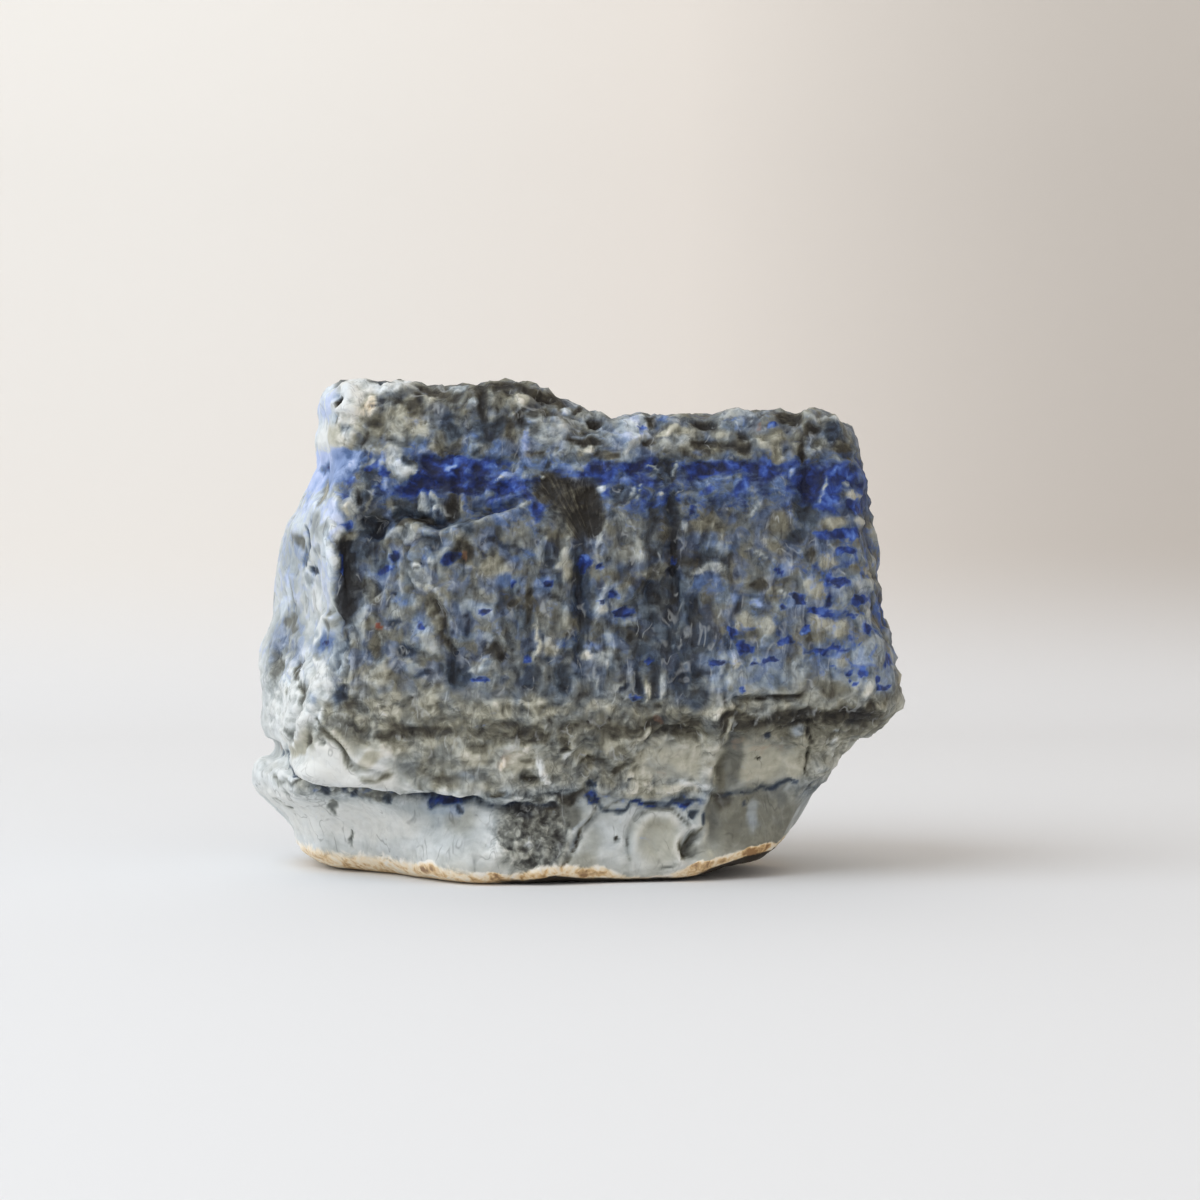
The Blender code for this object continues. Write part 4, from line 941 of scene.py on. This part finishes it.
class Nodes:  # short ways to add nodes to one material
    def __init__(self, tree):
        self.tree = tree

    def add(self, kind, **inputs):
        node = self.tree.nodes.new(kind)
        for name, value in inputs.items():
            self.feed(node.inputs[name.replace("_", " ")], value)
        return node

    def feed(self, socket, value):
        if isinstance(value, bpy.types.NodeSocket):
            self.tree.links.new(value, socket)
        else:
            socket.default_value = value

    def math(self, operation, first, second=0.0, clamp=False):
        node = self.tree.nodes.new("ShaderNodeMath")
        node.operation = operation
        node.use_clamp = clamp
        self.feed(node.inputs[0], first)
        self.feed(node.inputs[1], second)
        return node.outputs[0]

    def times(self, first, second):
        return self.math("MULTIPLY", first, second)

    def plus(self, first, second, clamp=False):
        return self.math("ADD", first, second, clamp)

    def minus(self, first, second, clamp=False):
        return self.math("SUBTRACT", first, second, clamp)

    def sway(self, value, amount):  # (value - 0.5) * amount
        return self.times(self.minus(value, 0.5), amount)

    def share(self, name):
        node = self.tree.nodes.new("ShaderNodeAttribute")
        node.attribute_name = name
        return node.outputs["Fac"]

    def noise(self, place, size, detail=3.0, roughness=0.55, distortion=0.0):
        node = self.add("ShaderNodeTexNoise", Vector=place, Scale=1.0 / (size * mm), Detail=detail,
                        Roughness=roughness, Distortion=distortion)
        return node.outputs["Fac"]

    def stretch(self, place, scale):
        node = self.add("ShaderNodeMapping", Vector=place, Scale=scale)
        return node.outputs["Vector"]

    def fan(self, place, root):  # fine stripes that spread upwards from a root
        axes = self.add("ShaderNodeSeparateXYZ", Vector=place).outputs
        across = self.minus(axes["X"], root[0] * mm)
        up = self.minus(axes["Z"], root[1] * mm)
        turn = self.times(self.math("ARCTAN2", across, up), 0.012)
        spread = self.add("ShaderNodeCombineXYZ", X=turn, Z=self.times(up, 0.12))
        return self.sway(self.noise(spread.outputs["Vector"], 0.5, 2.0), 1.1)

    def web(self, place, size):  # distance to the seams between lumps of this size
        wander = self.add("ShaderNodeTexNoise", Vector=place, Scale=1.0 / (2.2 * mm), Detail=2.0)
        shift = self.add("ShaderNodeVectorMath", Vector=wander.outputs["Color"])
        shift.operation = "MULTIPLY_ADD"
        shift.inputs[1].default_value = (2.6 * mm,) * 3
        self.feed(shift.inputs[2], place)
        cells = self.add("ShaderNodeTexVoronoi", Vector=shift.outputs["Vector"], Scale=1.0 / (size * mm))
        cells.feature = "DISTANCE_TO_EDGE"
        return cells.outputs["Distance"]

    def step(self, value, low, high):
        node = self.add("ShaderNodeMapRange", Value=value, From_Min=low, From_Max=high)
        node.interpolation_type = "SMOOTHSTEP"
        return node.outputs["Result"]

    def thin(self, value, width):  # 1 along the line where the noise crosses its middle
        away = self.math("ABSOLUTE", self.minus(value, 0.5))
        return self.minus(1.0, self.step(away, 0.0, width))

    def ramp(self, value, stops):
        node = self.add("ShaderNodeValToRGB", Fac=value)
        for (place, colour), element in zip(stops, self.elements(node.color_ramp, len(stops))):
            element.position = place
            element.color = linear(colour)
        return node.outputs["Color"]

    def elements(self, ramp, count):
        while len(ramp.elements) < count:
            ramp.elements.new(1.0)
        return ramp.elements

    def mix(self, first, second, amount, blend="MIX"):
        node = self.tree.nodes.new("ShaderNodeMix")
        node.data_type = "RGBA"
        node.blend_type = blend
        self.feed(node.inputs[0], amount)
        self.feed(node.inputs[6], first)
        self.feed(node.inputs[7], second)
        return node.outputs[2]

    def blend(self, first, second, amount):  # the same for plain numbers
        node = self.tree.nodes.new("ShaderNodeMix")
        node.data_type = "FLOAT"
        self.feed(node.inputs[0], amount)
        self.feed(node.inputs[2], first)
        self.feed(node.inputs[3], second)
        return node.outputs[0]


def stoneMaterial():
    material = bpy.data.materials.new("lapisAndCalcite")
    material.use_nodes = True
    n = Nodes(material.node_tree)
    patterns, swings, cover = finish["sizes"], finish["swings"], finish["cover"]
    shader = material.node_tree.nodes["Principled BSDF"]
    place = n.add("ShaderNodeTexCoord").outputs["Object"]
    upright = n.stretch(place, (1.0, 1.0, 0.45))
    lying = n.stretch(place, (0.6, 0.6, 1.2))
    upShare = n.share("upright")
    hollow = n.share("hollow")
    fan = n.times(n.fan(place, finish["tuftRoot"]), n.share("tuft"))
    grained = n.minus(1.0, n.times(n.share("smooth"), 0.78))

    # lightness: big mottles, small mottles and a little grain
    mottle = n.blend(n.noise(place, patterns["mottle"], 3.0, 0.55, 1.5),
                     n.noise(upright, patterns["uprightMottle"], 3.0, 0.55, 1.2), upShare)
    speck = n.noise(place, patterns["speck"], 2.0, 0.5, 1.0)
    grain = n.noise(place, patterns["grain"], 1.0, 0.5)
    swing = n.plus(n.sway(mottle, swings["mottle"]), n.sway(speck, swings["speck"]))
    swing = n.plus(swing, n.sway(grain, swings["grain"]))
    salt = n.sway(n.noise(place, patterns["speckle"], 2.0, 0.5, 0.4), swings["speckle"])
    swing = n.plus(swing, n.times(salt, n.share("speckle")))
    lightness = n.plus(n.share("lightness"), n.times(swing, grained))
    # painted shade and highlight: hollows of the relief are painted darker and crests lighter
    lightness = n.minus(lightness, n.times(hollow, swings["hollow"]))
    lightness = n.plus(lightness, fan)
    plainer = n.times(grained, n.minus(1.0, n.times(n.share("speckle"), 0.8)))
    plainer = n.times(plainer, n.plus(0.6, n.times(n.step(n.share("haze"), 0.0, 0.3), 0.4)))
    tint = n.times(n.sway(n.noise(place, patterns["tint"], 2.0, 0.5, 0.5), swings["tint"]), plainer)
    coolness = n.plus(n.share("coolness"), tint, clamp=True)
    colour = n.mix(n.ramp(lightness, finish["warmStone"]), n.ramp(lightness, finish["coolStone"]), coolness)

    # pale wisps and dark hairlines, each broken up by a second noise
    wisps = n.thin(n.noise(upright, patterns["wisp"], 2.0, 0.5, 0.6), 0.035)
    wisps = n.times(wisps, n.step(n.noise(place, 3.0, 1.0), 0.50, 0.64))
    wisps = n.times(wisps, grained)
    hairs = n.thin(n.noise(upright, patterns["hairline"], 2.0, 0.55, 0.5), 0.022)
    hairs = n.times(hairs, n.step(n.noise(place, 3.6, 2.0), 0.47, 0.60))
    etched = n.thin(n.noise(upright, patterns["etching"], 2.0, 0.5, 0.8), 0.03)
    etched = n.times(n.times(etched, grained), n.step(n.noise(place, 4.4, 2.0), 0.46, 0.58))
    bare = n.minus(1.0, n.share("tuft"))
    colour = n.mix(colour, linear(finish["wisp"]), n.times(n.times(wisps, bare), cover["wisp"]))
    dark = n.math("MAXIMUM", hairs, etched)
    colour = n.mix(colour, linear(finish["hairline"]), n.times(dark, cover["hairline"]))

    # blue: a haze over the stone, then grains of its own
    flecks = n.blend(n.noise(lying, patterns["fleck"], 3.0, 0.5, 0.8),
                     n.noise(upright, patterns["uprightFleck"], 3.0, 0.5, 0.6), n.times(upShare, 0.5))
    blueField = n.plus(n.share("lazurite"), n.plus(n.sway(flecks, swings["fleck"]), n.sway(speck, 0.5)))
    seams = n.minus(0.75, n.step(n.web(place, patterns["net"]), 0.0, 0.24))
    blueField = n.plus(blueField, n.times(n.times(seams, n.share("web")), swings["net"]))
    hazeField = n.times(n.share("haze"),
                        n.step(n.noise(place, patterns["haze"], 2.0, 0.5, 0.6), 0.44, 0.62))
    hazeField = n.plus(hazeField, n.minus(n.share("haze"), 1.0, clamp=True), clamp=True)
    hazeField = n.math("MAXIMUM", hazeField, n.times(n.step(blueField, 0.25, 0.60), 0.9))
    colour = n.mix(colour, n.ramp(lightness, finish["hazyStone"]), n.times(hazeField, cover["haze"]))
    blueTone = n.plus(n.share("blueTone"),
                      n.sway(n.noise(place, patterns["blueTone"], 2.0, 0.5, 0.4), swings["blueTone"]))
    # painted shade and highlight: the blue is painted darker in hollows and lighter on crests
    blueTone = n.minus(blueTone, n.times(hollow, 0.10))
    blue = n.step(blueField, 0.36, 0.84)
    colour = n.mix(colour, n.ramp(blueTone, finish["blue"]), n.times(blue, cover["blue"]))

    # weathered crust at the foot, painted shade under the foot, and rusty stains
    crust = n.step(n.plus(n.share("ochre"), n.sway(mottle, 1.2)), 0.30, 0.74)
    crustTone = n.minus(1.15, n.times(n.share("ochre"), 0.68))
    crustTone = n.plus(crustTone, n.plus(n.sway(mottle, 1.6), n.sway(speck, 0.9)))
    colour = n.mix(colour, n.ramp(crustTone, finish["crust"]), n.times(crust, cover["crust"]))
    footShade = n.step(n.plus(n.share("footShade"), n.sway(mottle, 0.8)), 0.3, 0.8)
    colour = n.mix(colour, linear(finish["footShade"]), n.times(footShade, cover["footShade"]))
    stain = n.plus(n.share("rust"), n.sway(mottle, 1.4))
    colour = n.mix(colour, linear(finish["rust"]), n.times(n.step(stain, 0.4, 1.0), cover["rust"]))
    colour = n.mix(colour, linear(finish["red"]), n.times(n.step(stain, 1.0, 1.5), cover["red"]))
    n.feed(shader.inputs["Base Color"], colour)

    n.feed(shader.inputs["Roughness"], n.plus(finish["roughness"], n.sway(speck, 0.3)))
    shader.inputs["Specular IOR Level"].default_value = finish["shine"]
    height = n.plus(n.times(mottle, 1.2), n.times(speck, 0.45))
    height = n.plus(height, n.times(grain, 0.10))
    strength, depth = finish["bump"]
    bump = n.add("ShaderNodeBump", Height=n.times(height, grained), Strength=strength, Distance=depth * mm)
    n.feed(shader.inputs["Normal"], bump.outputs["Normal"])
    return material


stone = makeStone()
for name, values in shapeStone(stone).items():
    storeShare(stone.data, name, values)
stone.data.materials.clear()
stone.data.materials.append(stoneMaterial())
print("stone:", len(stone.data.polygons), "faces")
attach(stone, "root")
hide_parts("lapis_stone")

studio = {  # metres
    "cameraPlace": (0.0043, -0.578, 0.0655),
    "cameraDip": 2.02,        # degrees that the camera looks down
    "viewAngle": 20.0,
    "sensorWidth": 36.0,      # mm
    "wall": 0.46,
    "bend": 0.16,
    "front": -1.5,
    "halfWidth": 2.0,
    "wallHeight": 1.8,
    "floorPaper": (229, 231, 234),
    "wallPaperShaded": ((0, (242, 239, 234)), (0.5, (238, 232, 225)), (1, (206, 200, 193))),  # left to right, the darker right end being painted shade
    "wallShade": (-0.14, 0.20),       # where that change starts and ends
    "paperRoughness": 0.9,
    "paperChange": 0.05,              # the floor's colour turns into the wall's over this height
    "lowWall": (0.90, 0.05, 0.22),    # the low part of the wall is this much darker, between these heights
    "keyPlace": (-0.57, -0.36, 0.73),
    "keyAim": (0, 0, 0.04),
    "keySize": 1.0,
    "keyPower": 5.35,
    "keyColour": (0.82, 0.92, 1.02),
    "airLeft": (0.91, 0.86, 0.815),   # light from all round, brighter on the left
    "airRight": (0.66, 0.60, 0.535),
}


def addCamera():
    lens = bpy.data.cameras.new("studioCamera")
    lens.sensor_width = studio["sensorWidth"]
    lens.angle = math.radians(studio["viewAngle"])
    camera = bpy.data.objects.new("studioCamera", lens)
    camera.location = studio["cameraPlace"]
    camera.rotation_euler = (math.radians(90.0 - studio["cameraDip"]), 0.0, 0.0)
    bpy.context.scene.collection.objects.link(camera)
    bpy.context.scene.camera = camera


def addSweep():  # floor that bends up into a wall
    steps = 24
    line = [(studio["front"], 0.0)]
    for step in range(steps + 1):
        turn = math.pi / 2 * step / steps
        y = studio["wall"] - studio["bend"] * (1 - math.sin(turn))
        line.append((y, studio["bend"] * (1 - math.cos(turn))))
    line.append((studio["wall"], studio["wallHeight"]))
    shape = bmesh.new()
    rows = [[shape.verts.new((side * studio["halfWidth"], y, z)) for side in (-1, 1)] for y, z in line]
    for low, high in zip(rows, rows[1:]):
        shape.faces.new((low[0], low[1], high[1], high[0]))
    mesh = bpy.data.meshes.new("studioSweep")
    shape.to_mesh(mesh)
    shape.free()
    mesh.shade_smooth()
    sweep = bpy.data.objects.new("studioSweep", mesh)
    bpy.context.scene.collection.objects.link(sweep)
    mesh.materials.append(paperMaterial())


def paperMaterial():  # pale paper, a little warmer up the wall, with painted shade darkening the wall towards the right
    paper = bpy.data.materials.new("palePaper")
    paper.use_nodes = True
    n = Nodes(paper.node_tree)
    shader = paper.node_tree.nodes["Principled BSDF"]
    place = n.add("ShaderNodeTexCoord").outputs["Object"]
    axes = n.add("ShaderNodeSeparateXYZ", Vector=place).outputs
    wall = n.ramp(n.step(axes["X"], *studio["wallShade"]), studio["wallPaperShaded"])
    colour = n.mix(linear(studio["floorPaper"]), wall, n.step(axes["Z"], 0.0, studio["paperChange"]))
    dim, foot, top = studio["lowWall"]
    rise = n.minus(n.step(axes["Z"], 0.0, foot), n.step(axes["Z"], foot, top))
    colour = n.mix(colour, (dim, dim, dim * 1.01, 1.0), rise, "MULTIPLY")
    n.feed(shader.inputs["Base Color"], colour)
    shader.inputs["Roughness"].default_value = studio["paperRoughness"]
    return paper


def addLights():
    key = bpy.data.objects.new("keyLight", bpy.data.lights.new("keyLight", "AREA"))
    key.location = studio["keyPlace"]
    key.rotation_euler = (Vector(studio["keyAim"]) - key.location).to_track_quat("-Z", "Y").to_euler()
    key.data.shape = "DISK"
    key.data.size = studio["keySize"]
    key.data.energy = studio["keyPower"]
    key.data.color = studio["keyColour"]
    bpy.context.scene.collection.objects.link(key)
    world = bpy.data.worlds.new("studioAir")
    world.use_nodes = True
    n = Nodes(world.node_tree)
    direction = n.add("ShaderNodeTexCoord").outputs["Generated"]
    across = n.add("ShaderNodeSeparateXYZ", Vector=direction).outputs["X"]
    colour = n.mix(studio["airLeft"] + (1.0,), studio["airRight"] + (1.0,), n.step(across, -1.0, 1.0))
    n.feed(world.node_tree.nodes["Background"].inputs["Color"], colour)
    bpy.context.scene.world = world


addCamera()
addSweep()
addLights()
print("studio: camera, sweep and light")
bpy.context.scene.view_settings.view_transform = "Standard"
